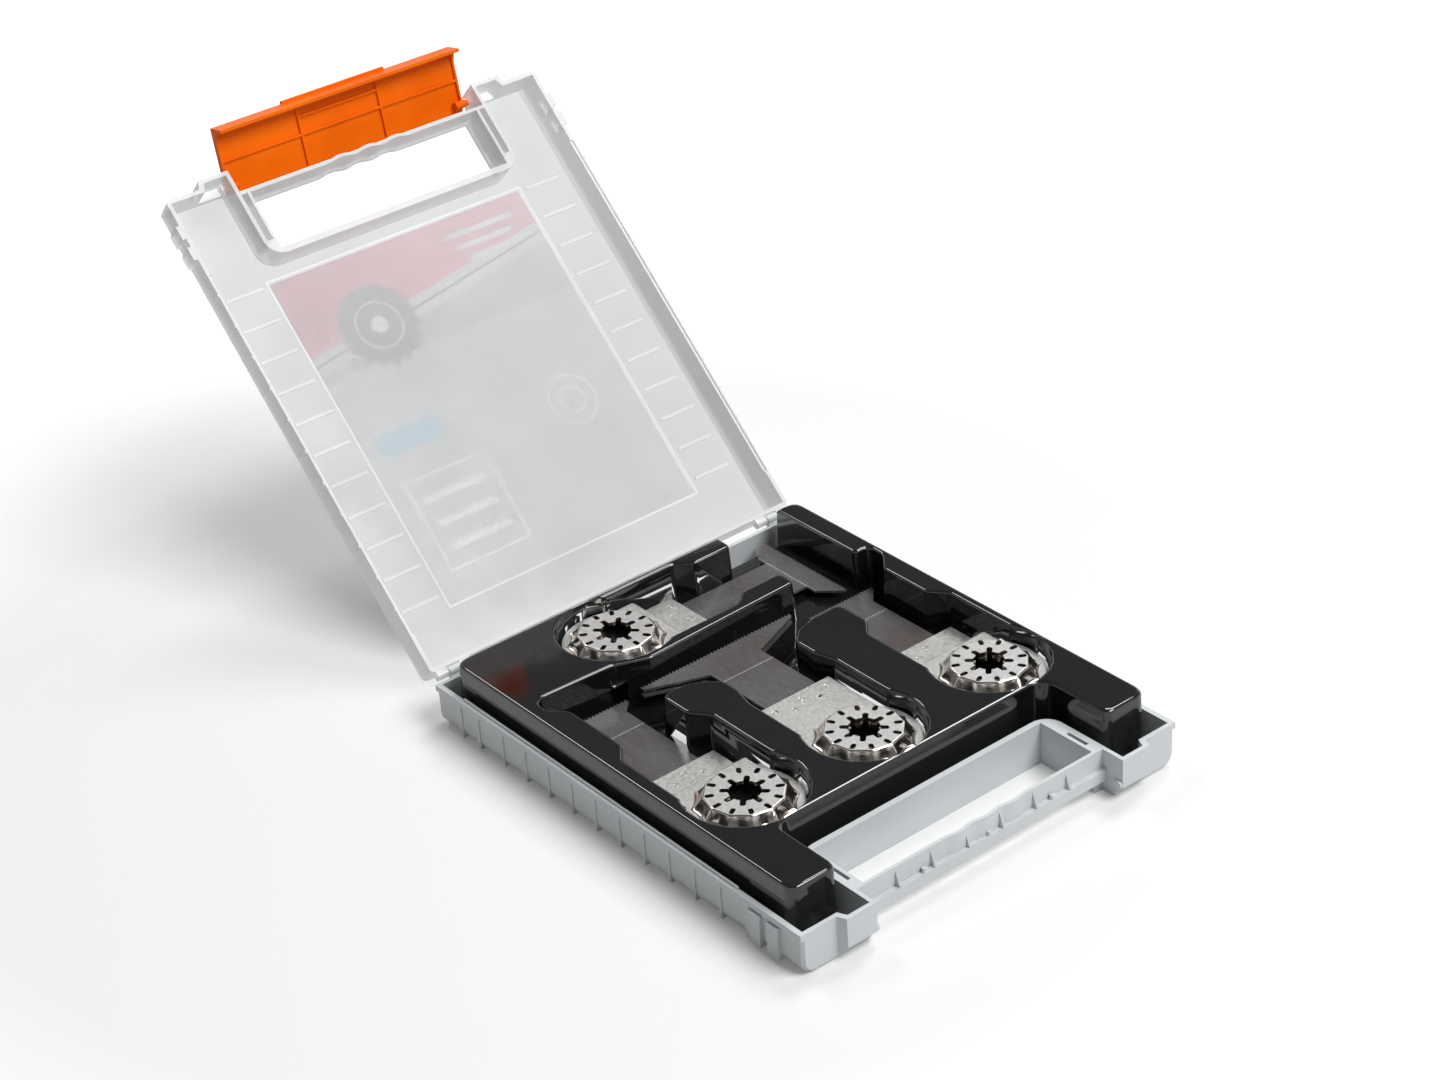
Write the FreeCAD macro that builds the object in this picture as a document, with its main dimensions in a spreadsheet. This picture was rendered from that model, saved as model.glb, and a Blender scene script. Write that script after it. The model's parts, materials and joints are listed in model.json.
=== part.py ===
import FreeCAD, Part
import math
import os
import re

import Sketcher

# Saw blade storage case, open on a table.
# +X runs along the hinge, -Y points to the carry handle, +Z is up.
# The origin is the centre of the base's underside.
# The lid and its latch are drawn closed, above the base, and then swung open.

Vector = FreeCAD.Vector

# Sizes in millimetres, angles in degrees
SIZES = (
    # Case outline
    ("case_width", 160.0),
    ("case_depth", 190.2),
    ("base_height", 15.8),
    ("lid_height", 12.7),
    ("wall", 1.5),
    ("floor_thickness", 1.6),
    ("top_thickness", 1.2),
    ("rib_proud", 0.4),
    ("side_radius", 5.0),
    ("lid_radius", 4.4),
    ("inner_radius", 2.4),
    ("end_bevel", 1.0),
    ("overrun", 4.0),
    ("overlap", 0.3),
    # Handle bay at the front, between two blocks
    ("bay_half_width", 52.6),
    ("hole_half_width", 49.0),
    ("hole_inset", 30.3),
    ("hole_depth", 23.2),
    ("bay_corner_radius", 7.0),
    ("bar_wall", 1.2),
    ("ledge_depth", 2.0),
    ("ledge_bottom", 4.8),
    ("ledge_height", 4.0),
    ("slot_width", 1.3),
    ("slot_length", 9.0),
    ("slot_side", 1.35),
    ("slot_inset", 10.2),
    ("core_inset", 4.0),
    ("grip_pitch", 11.7),
    ("grip_depth", 0.8),
    ("grip_middle", 1.5),
    ("gusset_thickness", 1.0),
    ("gusset_pitch", 14.6),
    ("gusset_drop", 1.3),
    ("peg_radius", 0.9),
    ("peg_height", 1.6),
    ("peg_pitch", 27.5),
    # Proud nose on each front block
    ("nose_width", 13.4),
    ("nose_proud", 3.2),
    ("nose_slope", 1.5),
    ("nose_sill", 3.2),
    ("nose_chamfer", 1.6),
    # Ribs, lugs and tongue on the long sides
    ("rib_width", 1.0),
    ("rib_pitch", 12.65),
    ("rib_inset", 39.1),
    ("rib_foot", 1.2),
    ("rib_toe", 2.0),
    ("rib_knee", 4.0),
    ("post_width", 1.8),
    ("post_inset", 24.5),
    ("corner_inset", 14.4),
    ("band_height", 2.2),
    ("tongue_thickness", 0.7),
    ("tongue_height", 0.8),
    ("tongue_inset", 31.0),
    ("tongue_back_inset", 15.0),
    ("tongue_clearance", 0.2),
    ("lug_proud", 1.0),
    ("lug_length", 5.2),
    ("lug_pitch", 8.4),
    ("lug_inset", 10.1),
    ("lug_foot", 1.5),
    ("lug_drop", 2.8),
    ("lid_lug_drop", 4.5),
    ("rim_gap", 0.1),
    # Hinge at the back
    ("hinge_offset", 1.8),
    ("hinge_rise", 1.4),
    ("knuckle_radius", 1.6),
    ("pin_radius", 0.75),
    ("pin_clearance", 0.08),
    ("knuckle_length", 4.6),
    ("knuckle_gap", 0.3),
    ("knuckle_inset", 2.0),
    ("bracket_drop", 3.2),
    ("lid_angle", 135.9),
    # Printed card in the lid's recess
    ("card_width", 109.0),
    ("card_depth", 131.6),
    ("card_thickness", 0.25),
    ("card_shift", 8.4),
    ("recess_margin", 1.2),
    ("recess_depth", 0.4),
    ("bar_width", 1.2),
    ("bar_height", 0.4),
    ("strip_inner", 57.5),
    ("strip_outer", 73.0),
    # Latch flap on the lid's front
    ("latch_thickness", 1.3),
    ("latch_end_gap", 1.3),
    ("latch_inset", 2.9),
    ("latch_drop", 3.7),
    ("latch_top_gap", 0.5),
    ("latch_foot", 3.2),
    ("latch_lip_depth", 6.2),
    ("latch_lip_thickness", 1.2),
    ("latch_tab_half_width", 22.0),
    ("latch_tab_drop", 1.1),
    ("latch_rib_depth", 0.9),
    ("latch_rib_thickness", 0.9),
    ("latch_rib_top_gap", 1.2),
    ("latch_rib_rise", 12.1),
    ("latch_low_rib_rise", 5.6),
    ("latch_boss_radius", 1.5),
    ("latch_boss_length", 4.0),
    ("latch_pin_radius", 1.1),
    ("latch_pin_length", 2.4),
    ("latch_pin_clearance", 0.08),
    ("latch_collar_radius", 2.4),
    ("latch_collar_length", 0.9),
    ("latch_rib_pitch", 34.2),
    ("latch_plate_gap", 4.9),
    ("latch_angle", 54.0),
    ("snap_peg_radius", 1.5),
    ("snap_peg_length", 1.0),
    ("snap_peg_inset", 1.6),
    ("snap_peg_rise", 5.8),
    # Thermoformed insert
    ("insert_side_gap", 2.5),
    ("insert_front_gap", 7.1),
    ("insert_back_gap", 5.3),
    ("insert_top", 26.0),
    ("insert_skin", 0.9),
    ("insert_lift", 0.1),
    ("insert_draft", 1.5),
    ("edge_radius", 1.1),
    ("leg_reach", 57.4),
    ("apron_reach", 57.2),
    ("tight_radius", 0.5),
    ("small_radius", 2.2),
    ("corner_radius", 3.0),
    ("soft_radius", 4.0),
    ("wide_radius", 6.0),
    ("finger_gap", 3.6),
    ("arm_gap", 2.9),
    ("shelf_reach", 17.2),
    ("step_reach", 54.0),
    ("shelf_margin", 2.2),
    ("seat_gap", 0.1),
    # Blade hubs and arms
    ("hub_top", 24.4),
    ("hub_radius", 13.6),
    ("rim_radius", 17.2),
    ("flange_radius", 19.0),
    ("scallop_share", 0.07),
    ("hub_rise", 4.2),
    ("hub_draw", 1.6),
    ("star_radius", 8.1),
    ("star_root", 5.3),
    ("star_tooth_width", 2.0),
    ("slot_ring_radius", 11.4),
    ("hub_slot_length", 3.0),
    ("hub_slot_width", 1.7),
    ("arm_width", 30.8),
    ("arm_thickness", 1.2),
    ("arm_reach", 35.4),
    ("crank_start", 19.2),
    ("crank_run", 3.4),
    ("crank_skew", 0.5),
    ("crank_drop", 5.4),
    ("weld_radius", 0.8),
    ("weld_depth", 0.3),
    ("weld_reach", 31.7),
    ("weld_step", 3.2),
    ("weld_pitch", 5.65),
    # Saw sheets
    ("sheet_thickness", 0.9),
    ("sheet_lap", 9.6),
    ("stack_pitch", 2.3),
    ("tooth_pitch", 1.5),
    ("tooth_width", 1.3),
    ("tooth_lean", 0.5),
    ("tooth_depth", 0.9),
    ("flank_height", 1.8),
    ("left_neck", 10.0),
    ("left_flare", 75.0),
    ("left_edge", 14.0),
    ("left_reach", 80.6),
    ("centre_neck", 11.0),
    ("centre_flare", 65.5),
    ("centre_edge", 32.5),
    ("centre_reach", 76.1),
    ("right_neck", 9.0),
    ("right_flare", 68.1),
    ("right_edge", 14.5),
    ("right_reach", 75.7),
    ("rear_neck", 11.0),
    ("rear_flare", 75.8),
    ("rear_shoulder", 15.7),
    ("rear_edge", 22.4),
    ("rear_reach", 84.5),
)

doc = FreeCAD.newDocument("saw_blade_case")
SHEET = doc.addObject("Spreadsheet::Sheet", "Sizes")
for row, (alias, amount) in enumerate(SIZES, start=1):
    SHEET.set("A%d" % row, alias)
    SHEET.set("B%d" % row, str(amount))
    SHEET.setAlias("B%d" % row, alias)
doc.recompute()


def words(text):
    """Point each size name in a text at its cell in the sheet."""
    return re.sub(r"[a-z][a-z_]+", lambda word: "Sizes." + word.group(), text)


def size(text):
    """Work out a text of size names."""
    return float(SHEET.evalExpression(words(text)))


# Lines that the pieces share, in size names
SIDE = "case_width / 2"
END = "case_depth / 2"
FACE = "(case_width / 2 - rib_proud)"
INNER_SIDE = "(case_width / 2 - rib_proud - wall)"
INNER_END = "(case_depth / 2 - wall)"
HOLE_BACK = "-(case_depth / 2 - hole_inset)"
HOLE_FRONT = "-(case_depth / 2 - hole_inset + hole_depth)"
BAR_FACE = "-(case_depth / 2 - hole_inset + hole_depth + bar_wall)"
BAY_BACK = "-(case_depth / 2 - hole_inset - wall * 3 / 2)"
BLOCK_WALL = "(bay_half_width + wall)"
NOSE_FACE = "(case_depth / 2 + nose_proud)"
HINGE_LINE = "(case_depth / 2 + hinge_offset)"
HINGE_HEIGHT = "(base_height + hinge_rise)"
CASE_TOP = "(base_height + lid_height)"
LID_RIM = "(base_height + rim_gap)"
LID_CEILING = "(base_height + lid_height - top_thickness)"
LATCH_LINE = "-(case_depth / 2 + nose_proud - latch_inset)"
LATCH_HEIGHT = "(base_height + lid_height - latch_drop)"
INSERT_SIDE = "(case_width / 2 - rib_proud - wall - insert_side_gap)"
INSERT_FRONT = "-(case_depth / 2 - wall - insert_front_gap)"
INSERT_BACK = "(case_depth / 2 - wall - insert_back_gap)"
RIB_COUNT = 10
GUSSET_COUNT = 6
GRIP_COUNT = 3


# Bodies drawn with sketches

def origin_item(body, role):
    """Give one of a body's own origin planes or axes."""
    return [item for item in body.Origin.OriginFeatures if item.Role == role][0]


def new_body(label):
    """Start a sub-part."""
    body = doc.addObject("PartDesign::Body", label)
    body.Label = label
    return body


def new_sketch(body, role, height):
    """Start a sketch at a height above one of the body's planes."""
    item = body.newObject("Sketcher::SketchObject", "profile")
    item.AttachmentSupport = [(origin_item(body, role), "")]
    item.MapMode = "FlatFace"
    item.setExpression("AttachmentOffset.Base.z", words(height))
    return item


def hold(item, limits, texts):
    """Add limits to a sketch and tie the sized ones to the sheet."""
    first = item.ConstraintCount
    item.addConstraint(limits)
    start = first + len(limits) - len(texts)
    for number, text in enumerate(texts, start=start):
        item.setExpression("Constraints[%d]" % number, words(text))


def draw_loop(item, points):
    """Draw a closed run of lines through places given in size names."""
    first = item.GeometryCount
    count = len(points)
    spots = [Vector(size(across), size(up), 0) for across, up in points]
    following = [(index + 1) % count for index in range(count)]
    item.addGeometry([Part.LineSegment(spots[index], spots[following[index]])
                      for index in range(count)], False)
    limits = [Sketcher.Constraint("Coincident", first + index, 2, first + following[index], 1)
              for index in range(count)]
    for index, spot in enumerate(spots):
        limits.append(Sketcher.Constraint("DistanceX", -1, 1, first + index, 1, spot.x))
        limits.append(Sketcher.Constraint("DistanceY", -1, 1, first + index, 1, spot.y))
    hold(item, limits, [text for place in points for text in place])


def draw_circle(item, place, radius):
    """Draw a circle whose centre and radius are given in size names."""
    middle = Vector(size(place[0]), size(place[1]), 0)
    number = item.addGeometry(Part.Circle(middle, Vector(0, 0, 1), size(radius)), False)
    limits = [Sketcher.Constraint("DistanceX", -1, 1, number, 3, middle.x),
              Sketcher.Constraint("DistanceY", -1, 1, number, 3, middle.y),
              Sketcher.Constraint("Radius", number, size(radius))]
    hold(item, limits, place + (radius,))


def box(left, right, low, high):
    """Give the corners of a rectangle."""
    return ((left, low), (right, low), (right, high), (left, high))


def flipped(points):
    """Give the same outline on the other side of the sketch's upright axis."""
    return tuple(("-(%s)" % across, up) for across, up in points)


def both(points):
    """Give an outline and its twin on the other side."""
    return (points, flipped(points))


def run(body, kind, role, height, length, loops=(), circles=(), back=False):
    """Add or cut a straight run of some outlines."""
    item = new_sketch(body, role, height)
    for points in loops:
        draw_loop(item, points)
    for place, radius in circles:
        draw_circle(item, place, radius)
    step = body.newObject("PartDesign::" + kind, kind.lower())
    step.Profile = item
    step.Reversed = back
    step.setExpression("Length", words(length))
    body.Tip = step
    doc.recompute()
    return step


def pad(body, role, height, length, loops=(), circles=(), back=False):
    """Add a run and check that something was added."""
    before = 0 if body.Shape.isNull() else body.Shape.Volume
    step = run(body, "Pad", role, height, length, loops, circles, back)
    if not step.Shape.Volume > before:
        raise ValueError("a pad of %s adds nothing" % body.Label)
    return step


def pocket(body, role, height, length, loops=(), circles=(), back=False):
    """Cut a run and check that something was cut."""
    before = body.Shape.Volume
    step = run(body, "Pocket", role, height, length, loops, circles, back)
    if not step.Shape.Volume < before:
        raise ValueError("a pocket of %s cuts nothing" % body.Label)
    return step


def row_of(body, steps, role, pitch, count):
    """Repeat steps in a row along an axis."""
    item = body.newObject("PartDesign::LinearPattern", "row")
    item.Originals = steps
    item.Direction = (origin_item(body, role), [""])
    item.setExpression("Length", words("(%s) * %d" % (pitch, count - 1)))
    item.Occurrences = count
    body.Tip = item
    doc.recompute()
    return item


def twin(body, steps):
    """Repeat steps on the other side of the middle."""
    item = body.newObject("PartDesign::Mirrored", "twin")
    item.Originals = steps
    item.MirrorPlane = (origin_item(body, "YZ_Plane"), [""])
    body.Tip = item
    doc.recompute()
    return item


def treat(body, kind, amount, test):
    """Round or bevel the straight edges whose two ends and middle pass a test."""
    base = body.Tip
    names = []
    for number, edge in enumerate(base.Shape.Edges, start=1):
        spots = [corner.Point for corner in edge.Vertexes] + [edge.CenterOfMass]
        if len(spots) == 3 and all(test(spot) for spot in spots):
            names.append("Edge%d" % number)
    if not names:
        raise ValueError("no edges to treat on %s" % body.Label)
    step = body.newObject("PartDesign::" + kind, kind.lower())
    step.Base = (base, names)
    step.setExpression("Radius" if kind == "Fillet" else "Size", words(amount))
    body.Tip = step
    doc.recompute()
    return step


def near(first, second):
    """Tell whether two lengths are the same."""
    return abs(first - second) < size("overlap") / 1000


# Outlines that base and lid share

# Shape of one finger grip, as shares of its pitch and depth
GRIP_SHARES = ((0.0, 0.0), (0.17, 0.25), (0.33, 0.8), (0.5, 1.0), (0.67, 0.8), (0.83, 0.25))


def wavy_line(line):
    """Points of a line across the handle bar that dips for each finger."""
    points = []
    for grip in range(GRIP_COUNT):
        for along, dip in GRIP_SHARES:
            place = grip + along - GRIP_COUNT / 2
            points.append(("grip_middle + grip_pitch * (%g)" % place,
                           "%s - grip_depth * (%g)" % (line, dip)))
    last = GRIP_COUNT / 2
    points.append(("grip_middle + grip_pitch * (%g)" % last, line))
    return tuple(points)


def hole_loop():
    """Outline of the hand hole, its front edge wavy."""
    start = (("-hole_half_width", HOLE_FRONT),)
    finish = (("hole_half_width", HOLE_FRONT), ("hole_half_width", HOLE_BACK),
              ("-hole_half_width", HOLE_BACK))
    return start + wavy_line(HOLE_FRONT) + finish


def bay_loop(front):
    """Outline of the bay in front of the bar, its back edge wavy."""
    start = (("-bay_half_width", front), ("bay_half_width", front),
             ("bay_half_width", BAR_FACE))
    return start + tuple(reversed(wavy_line(BAR_FACE))) + (("-bay_half_width", BAR_FACE),)


def nose_loop():
    """Outline of the proud nose on the right block."""
    return (("bay_half_width", "-(%s - wall)" % END),
            ("bay_half_width", "-" + NOSE_FACE),
            ("bay_half_width + nose_width - nose_slope", "-" + NOSE_FACE),
            ("bay_half_width + nose_width", "-" + END),
            ("bay_half_width + nose_width", "-(%s - wall)" % END))


def nose_core_loop():
    """Outline of the space inside that nose."""
    far = "bay_half_width + nose_width - wall"
    return ((BLOCK_WALL, "-(%s - overlap)" % INNER_END),
            (BLOCK_WALL, "-(%s - wall)" % NOSE_FACE),
            (far + " - nose_slope", "-(%s - wall)" % NOSE_FACE),
            (far, "-" + INNER_END),
            (far, "-(%s - overlap)" % INNER_END))


def cavity_loop():
    """Outline of the inside space, which goes round the handle bay."""
    right = ((BLOCK_WALL, BAY_BACK), (BLOCK_WALL, "-" + INNER_END),
             (INNER_SIDE, "-" + INNER_END), (INNER_SIDE, INNER_END))
    return right + tuple(reversed(flipped(right)))


def slot_loop():
    """Outline of the slot in the pad at the end of the hand hole."""
    left = "hole_half_width + slot_side"
    high = HOLE_BACK + " - slot_inset"
    return box(left, left + " + slot_width", high + " - slot_length", high)


def core_loop():
    """Outline of the hollow under that pad."""
    return box("hole_half_width + bar_wall", "bay_half_width",
               BAR_FACE + " + bar_wall", HOLE_BACK + " - core_inset")


def lug_loops(inner):
    """Outlines of the two lugs near the handle end, on both sides."""
    loops = []
    for count in (0, 1):
        low = "-(%s - lug_inset - lug_pitch * %d)" % (END, count)
        loops += both(box(inner, FACE + " + rib_proud + lug_proud", low, low + " + lug_length"))
    return loops


def post_loops(inner):
    """Outlines of the posts beside the lugs and near the hinge, on both sides."""
    loops = []
    for low in ("-(%s - post_inset)" % END, "(%s - post_inset)" % END,
                "(%s - corner_inset)" % END):
        loops += both(box(inner, SIDE, low, low + " + post_width"))
    return loops


def round_outside(body, level, radius):
    """Round the long and short edges of the case's flat face."""
    face = size(FACE)
    end = size(END)
    treat(body, "Fillet", radius, lambda p: near(abs(p.x), face) and near(p.z, level))
    treat(body, "Chamfer", "end_bevel",
          lambda p: near(abs(p.y), end) and abs(p.z - level) < size(radius) / 2
          and abs(p.x) < face - size(radius) / 2)


def round_inside(body, level):
    """Round the long inner edges where wall and floor meet."""
    side = size(INNER_SIDE)
    treat(body, "Fillet", "inner_radius", lambda p: near(abs(p.x), side) and near(p.z, level))


def round_bay(body):
    """Round the two rear corners of the wall round the hand hole."""
    across = size(BLOCK_WALL)
    back = size(BAY_BACK)
    treat(body, "Fillet", "bay_corner_radius",
          lambda p: near(abs(p.x), across) and near(p.y, back))


TURN_STEPS = 16


def knuckle_arc(first, last):
    """Points round a knuckle, counted in steps from straight back."""
    points = []
    for count in range(first, last + 1):
        turn = math.tau * count / TURN_STEPS
        points.append((HINGE_LINE + " + knuckle_radius * (%.4f)" % math.cos(turn),
                       HINGE_HEIGHT + " + knuckle_radius * (%.4f)" % math.sin(turn)))
    return tuple(points)


def knuckle(body, start, profile, radius):
    """Bored hinge knuckle on the left, then its twin on the right."""
    place = (HINGE_LINE, HINGE_HEIGHT)
    tube = pad(body, "YZ_Plane", start, "knuckle_length", (profile,), ((place, radius),))
    return twin(body, [tube])


OUTER_KNUCKLE = "-(%s - knuckle_inset)" % SIDE
MIDDLE_KNUCKLE = "-(%s - knuckle_inset - knuckle_length - knuckle_gap)" % SIDE
INNER_KNUCKLE = "-(%s - knuckle_inset - knuckle_length * 2 - knuckle_gap * 2)" % SIDE


# Base tray

def base_shell(body):
    """Hollow box with a hand hole at the handle end."""
    pad(body, "XY_Plane", "0", "base_height", (box("-" + FACE, FACE, "-" + END, END),))
    round_outside(body, 0, "side_radius")
    pad(body, "XY_Plane", "nose_sill", "base_height - nose_sill", both(nose_loop()))
    nose = size(NOSE_FACE)
    treat(body, "Chamfer", "nose_chamfer",
          lambda p: near(p.y, -nose) and near(p.z, size("nose_sill")))
    pad(body, "XY_Plane", "base_height - band_height", "band_height",
        (box("-" + SIDE, SIDE, "-" + END, END),))
    base_sides(body)
    pocket(body, "XY_Plane", "base_height", "base_height - floor_thickness", (cavity_loop(),))
    round_inside(body, size("floor_thickness"))
    pocket(body, "XY_Plane", "base_height", "base_height - nose_sill - wall",
           both(nose_core_loop()))
    round_bay(body)


def base_handle(body):
    """Hand hole, bar, end pads and the ledge the latch hooks under."""
    front = "-(%s + overrun)" % NOSE_FACE
    pocket(body, "XY_Plane", "base_height", "base_height", (bay_loop(front),))
    pocket(body, "XY_Plane", "base_height", "base_height", (hole_loop(),))
    pocket(body, "XY_Plane", "0", "ledge_bottom",
           (box("-hole_half_width", "hole_half_width", front, HOLE_FRONT + " + overlap"),),
           back=True)
    pocket(body, "XY_Plane", "0", "base_height - wall", both(core_loop()), back=True)
    pocket(body, "XY_Plane", "base_height", "base_height", both(slot_loop()))
    pad(body, "XY_Plane", "ledge_bottom", "ledge_height",
        (box("-bay_half_width", "bay_half_width", BAR_FACE + " - ledge_depth",
             BAR_FACE + " + bar_wall / 4"),))


def base_handle_details(body):
    """Gussets and pegs on the ledge, and a snap peg on each block."""
    high = "base_height - gusset_drop"
    low = "ledge_bottom + ledge_height"
    gusset = ((BAR_FACE + " + bar_wall / 4", low + " - overlap"),
              (BAR_FACE + " - ledge_depth", low + " - overlap"),
              (BAR_FACE + " - ledge_depth", low),
              (BAR_FACE, high), (BAR_FACE + " + bar_wall / 4", high))
    start = "-(gusset_pitch * %g + gusset_thickness / 2)" % ((GUSSET_COUNT - 1) / 2)
    step = pad(body, "YZ_Plane", start, "gusset_thickness", (gusset,))
    row_of(body, [step], "X_Axis", "gusset_pitch", GUSSET_COUNT)
    line = BAR_FACE + " - ledge_depth / 2"
    pegs = [(("grip_middle + peg_pitch * (%d)" % count, line), "peg_radius")
            for count in (-1, 0, 1)]
    pad(body, "XY_Plane", low, "peg_height", circles=pegs)
    place = ("-(%s - snap_peg_inset)" % NOSE_FACE, "snap_peg_rise")
    snap = pad(body, "YZ_Plane", "bay_half_width - snap_peg_length",
               "snap_peg_length + wall / 2", circles=((place, "snap_peg_radius"),))
    twin(body, [snap])


TOE = ((SIDE, "rib_foot"), (SIDE, "base_height - band_height"),
       (FACE + " - overlap", "base_height - band_height"),
       (FACE + " - overlap", "rib_knee"), (FACE + " - rib_toe", "rib_foot"))


def base_sides(body):
    """Lugs and posts on both sides, drawn before the inside is hollowed."""
    pad(body, "XY_Plane", "lug_foot", "base_height - lug_foot - lug_drop",
        lug_loops(FACE + " - rib_toe"))
    pad(body, "XY_Plane", "rib_foot", "base_height - rib_foot", post_loops(FACE + " - rib_toe"))


def base_rim(body):
    """Tongue on the rim and the row of ribs on both sides."""
    pad(body, "XY_Plane", "base_height", "tongue_height",
        both(box(INNER_SIDE, INNER_SIDE + " + tongue_thickness",
                 "-(%s - tongue_inset)" % END, "(%s - tongue_back_inset)" % END)))
    rib = pad(body, "XZ_Plane", "(%s - rib_inset)" % END, "rib_width", both(TOE))
    row_of(body, [rib], "Y_Axis", "rib_pitch", RIB_COUNT)


def build_base():
    """Base tray of the case."""
    body = new_body("base_tray")
    base_shell(body)
    base_handle(body)
    base_handle_details(body)
    bracket = ((END + " - overlap", "base_height - overlap"),
               (END + " - overlap", "base_height - bracket_drop"))
    knuckle(body, MIDDLE_KNUCKLE, knuckle_arc(-3, 10) + bracket, "pin_radius")
    base_rim(body)
    return body


# Lid

def lid_shell(body):
    """Hollow cover with the same outline as the base."""
    pad(body, "XY_Plane", LID_RIM, "lid_height - rim_gap",
        (box("-" + FACE, FACE, "-" + END, END),))
    round_outside(body, size(CASE_TOP), "lid_radius")
    pad(body, "XY_Plane", LID_RIM, "lid_height - rim_gap - nose_sill / 2", both(nose_loop()))
    pad(body, "XY_Plane", LID_RIM, "lid_height - rim_gap - lid_lug_drop",
        lug_loops(FACE + " - overlap"))
    pocket(body, "XY_Plane", LID_RIM, "lid_height - rim_gap - top_thickness",
           (cavity_loop(),), back=True)
    round_inside(body, size(LID_CEILING))
    pocket(body, "XY_Plane", LID_RIM, "lid_height - rim_gap - nose_sill / 2 - wall",
           both(nose_core_loop()), back=True)
    round_bay(body)


def lid_handle(body):
    """Hand hole, bar, end pads and the plate over the latch's root."""
    front = "-(%s + overrun)" % NOSE_FACE
    edge = "-(%s - latch_plate_gap)" % NOSE_FACE
    pocket(body, "XY_Plane", CASE_TOP, "lid_height",
           (box("-bay_half_width", "bay_half_width", front, edge),))
    pocket(body, "XY_Plane", LID_RIM, "lid_height - rim_gap - top_thickness",
           (bay_loop(front),), back=True)
    pocket(body, "XY_Plane", CASE_TOP, "lid_height", (hole_loop(),))
    pocket(body, "XY_Plane", LID_RIM, "lid_height - rim_gap - wall", both(core_loop()),
           back=True)
    pocket(body, "XY_Plane", CASE_TOP, "lid_height", both(slot_loop()))


def lid_latch_seat(body):
    """Collared holes for the latch's pins and gussets behind them."""
    place = (LATCH_LINE, LATCH_HEIGHT)
    collar = pad(body, "YZ_Plane", BLOCK_WALL + " - overlap", "latch_collar_length + overlap",
                 circles=((place, "latch_collar_radius"),))
    hole = pocket(body, "YZ_Plane", BLOCK_WALL + " + latch_collar_length + overlap",
                  "wall + latch_collar_length + overlap * 2",
                  circles=((place, "latch_pin_radius + latch_pin_clearance"),))
    twin(body, [collar, hole])
    edge = "-(%s - latch_plate_gap)" % NOSE_FACE
    gusset = ((BAR_FACE + " + bar_wall / 4", LID_CEILING + " + overlap"),
              (BAR_FACE + " + bar_wall / 4", LID_CEILING + " - ledge_height"),
              (BAR_FACE, LID_CEILING + " - ledge_height"),
              (edge + " + overlap", LID_CEILING), (edge + " + overlap", LID_CEILING + " + overlap"))
    start = "-(gusset_pitch * %g + gusset_thickness / 2)" % ((GUSSET_COUNT - 1) / 2)
    step = pad(body, "YZ_Plane", start, "gusset_thickness", (gusset,))
    row_of(body, [step], "X_Axis", "gusset_pitch", GUSSET_COUNT)


def lid_relief(body):
    """Relief for the base's tongue and the recess for the card."""
    pocket(body, "XY_Plane", LID_RIM, "tongue_height - rim_gap + tongue_clearance",
           both(box(INNER_SIDE + " - overlap",
                    INNER_SIDE + " + tongue_thickness + tongue_clearance",
                    "-(%s - tongue_inset + tongue_clearance)" % END,
                    "(%s - tongue_back_inset + tongue_clearance)" % END)), back=True)
    width = "(card_width / 2 + recess_margin)"
    low = "card_shift - card_depth / 2 - recess_margin"
    pocket(body, "XY_Plane", CASE_TOP, "recess_depth",
           (box("-" + width, width, low, low + " + card_depth + recess_margin * 2"),))


def lid_ribs(body):
    """Rows of ribs outside and of bars inside."""
    start = "(%s - rib_inset)" % END
    high = CASE_TOP + " - lid_radius"
    rib = pad(body, "XZ_Plane", start, "rib_width",
              both(box(FACE + " - overlap", SIDE, LID_RIM, high)))
    bar = pad(body, "XZ_Plane", start, "bar_width",
              both(box("strip_inner", "strip_outer", LID_CEILING + " - bar_height",
                       LID_CEILING + " + overlap")))
    row_of(body, [rib, bar], "Y_Axis", "rib_pitch", RIB_COUNT + 1)


def build_lid():
    """Clear lid of the case, drawn closed."""
    body = new_body("lid_shell")
    lid_shell(body)
    lid_handle(body)
    lid_latch_seat(body)
    lid_relief(body)
    bracket = ((END + " - overlap", HINGE_HEIGHT + " + knuckle_radius + bracket_drop / 2"),
               (END + " - overlap", LID_RIM + " + overlap"))
    profile = knuckle_arc(-6, 4) + bracket
    for start in (OUTER_KNUCKLE, INNER_KNUCKLE):
        knuckle(body, start, profile, "pin_radius + pin_clearance")
    lid_ribs(body)
    return body


def build_card():
    """Printed card in the recess on the lid's outer face."""
    card = doc.addObject("Part::Box", "lid_label")
    card.Label = "lid_label"
    card.setExpression("Length", words("card_width"))
    card.setExpression("Width", words("card_depth"))
    card.setExpression("Height", words("card_thickness"))
    doc.recompute()
    return card


# Latch flap

def latch_plate(body):
    """Plate with a folded lip and a thumb tab."""
    half = "(bay_half_width - latch_end_gap)"
    inside = "-(%s - latch_thickness)" % NOSE_FACE
    top = CASE_TOP + " - latch_top_gap"
    lip = inside + " + latch_lip_depth"
    section = (("-" + NOSE_FACE, "latch_foot"), (lip, "latch_foot"),
               (lip, "latch_foot + latch_lip_thickness"),
               (inside, "latch_foot + latch_lip_thickness"), (inside, top),
               ("-" + NOSE_FACE, top))
    pad(body, "YZ_Plane", "-" + half, "(%s) * 2" % half, (section,))
    tab = box("-" + NOSE_FACE, inside, "latch_foot - latch_tab_drop",
              "latch_foot + latch_lip_thickness")
    pad(body, "YZ_Plane", "-latch_tab_half_width", "latch_tab_half_width * 2", (tab,))


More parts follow.
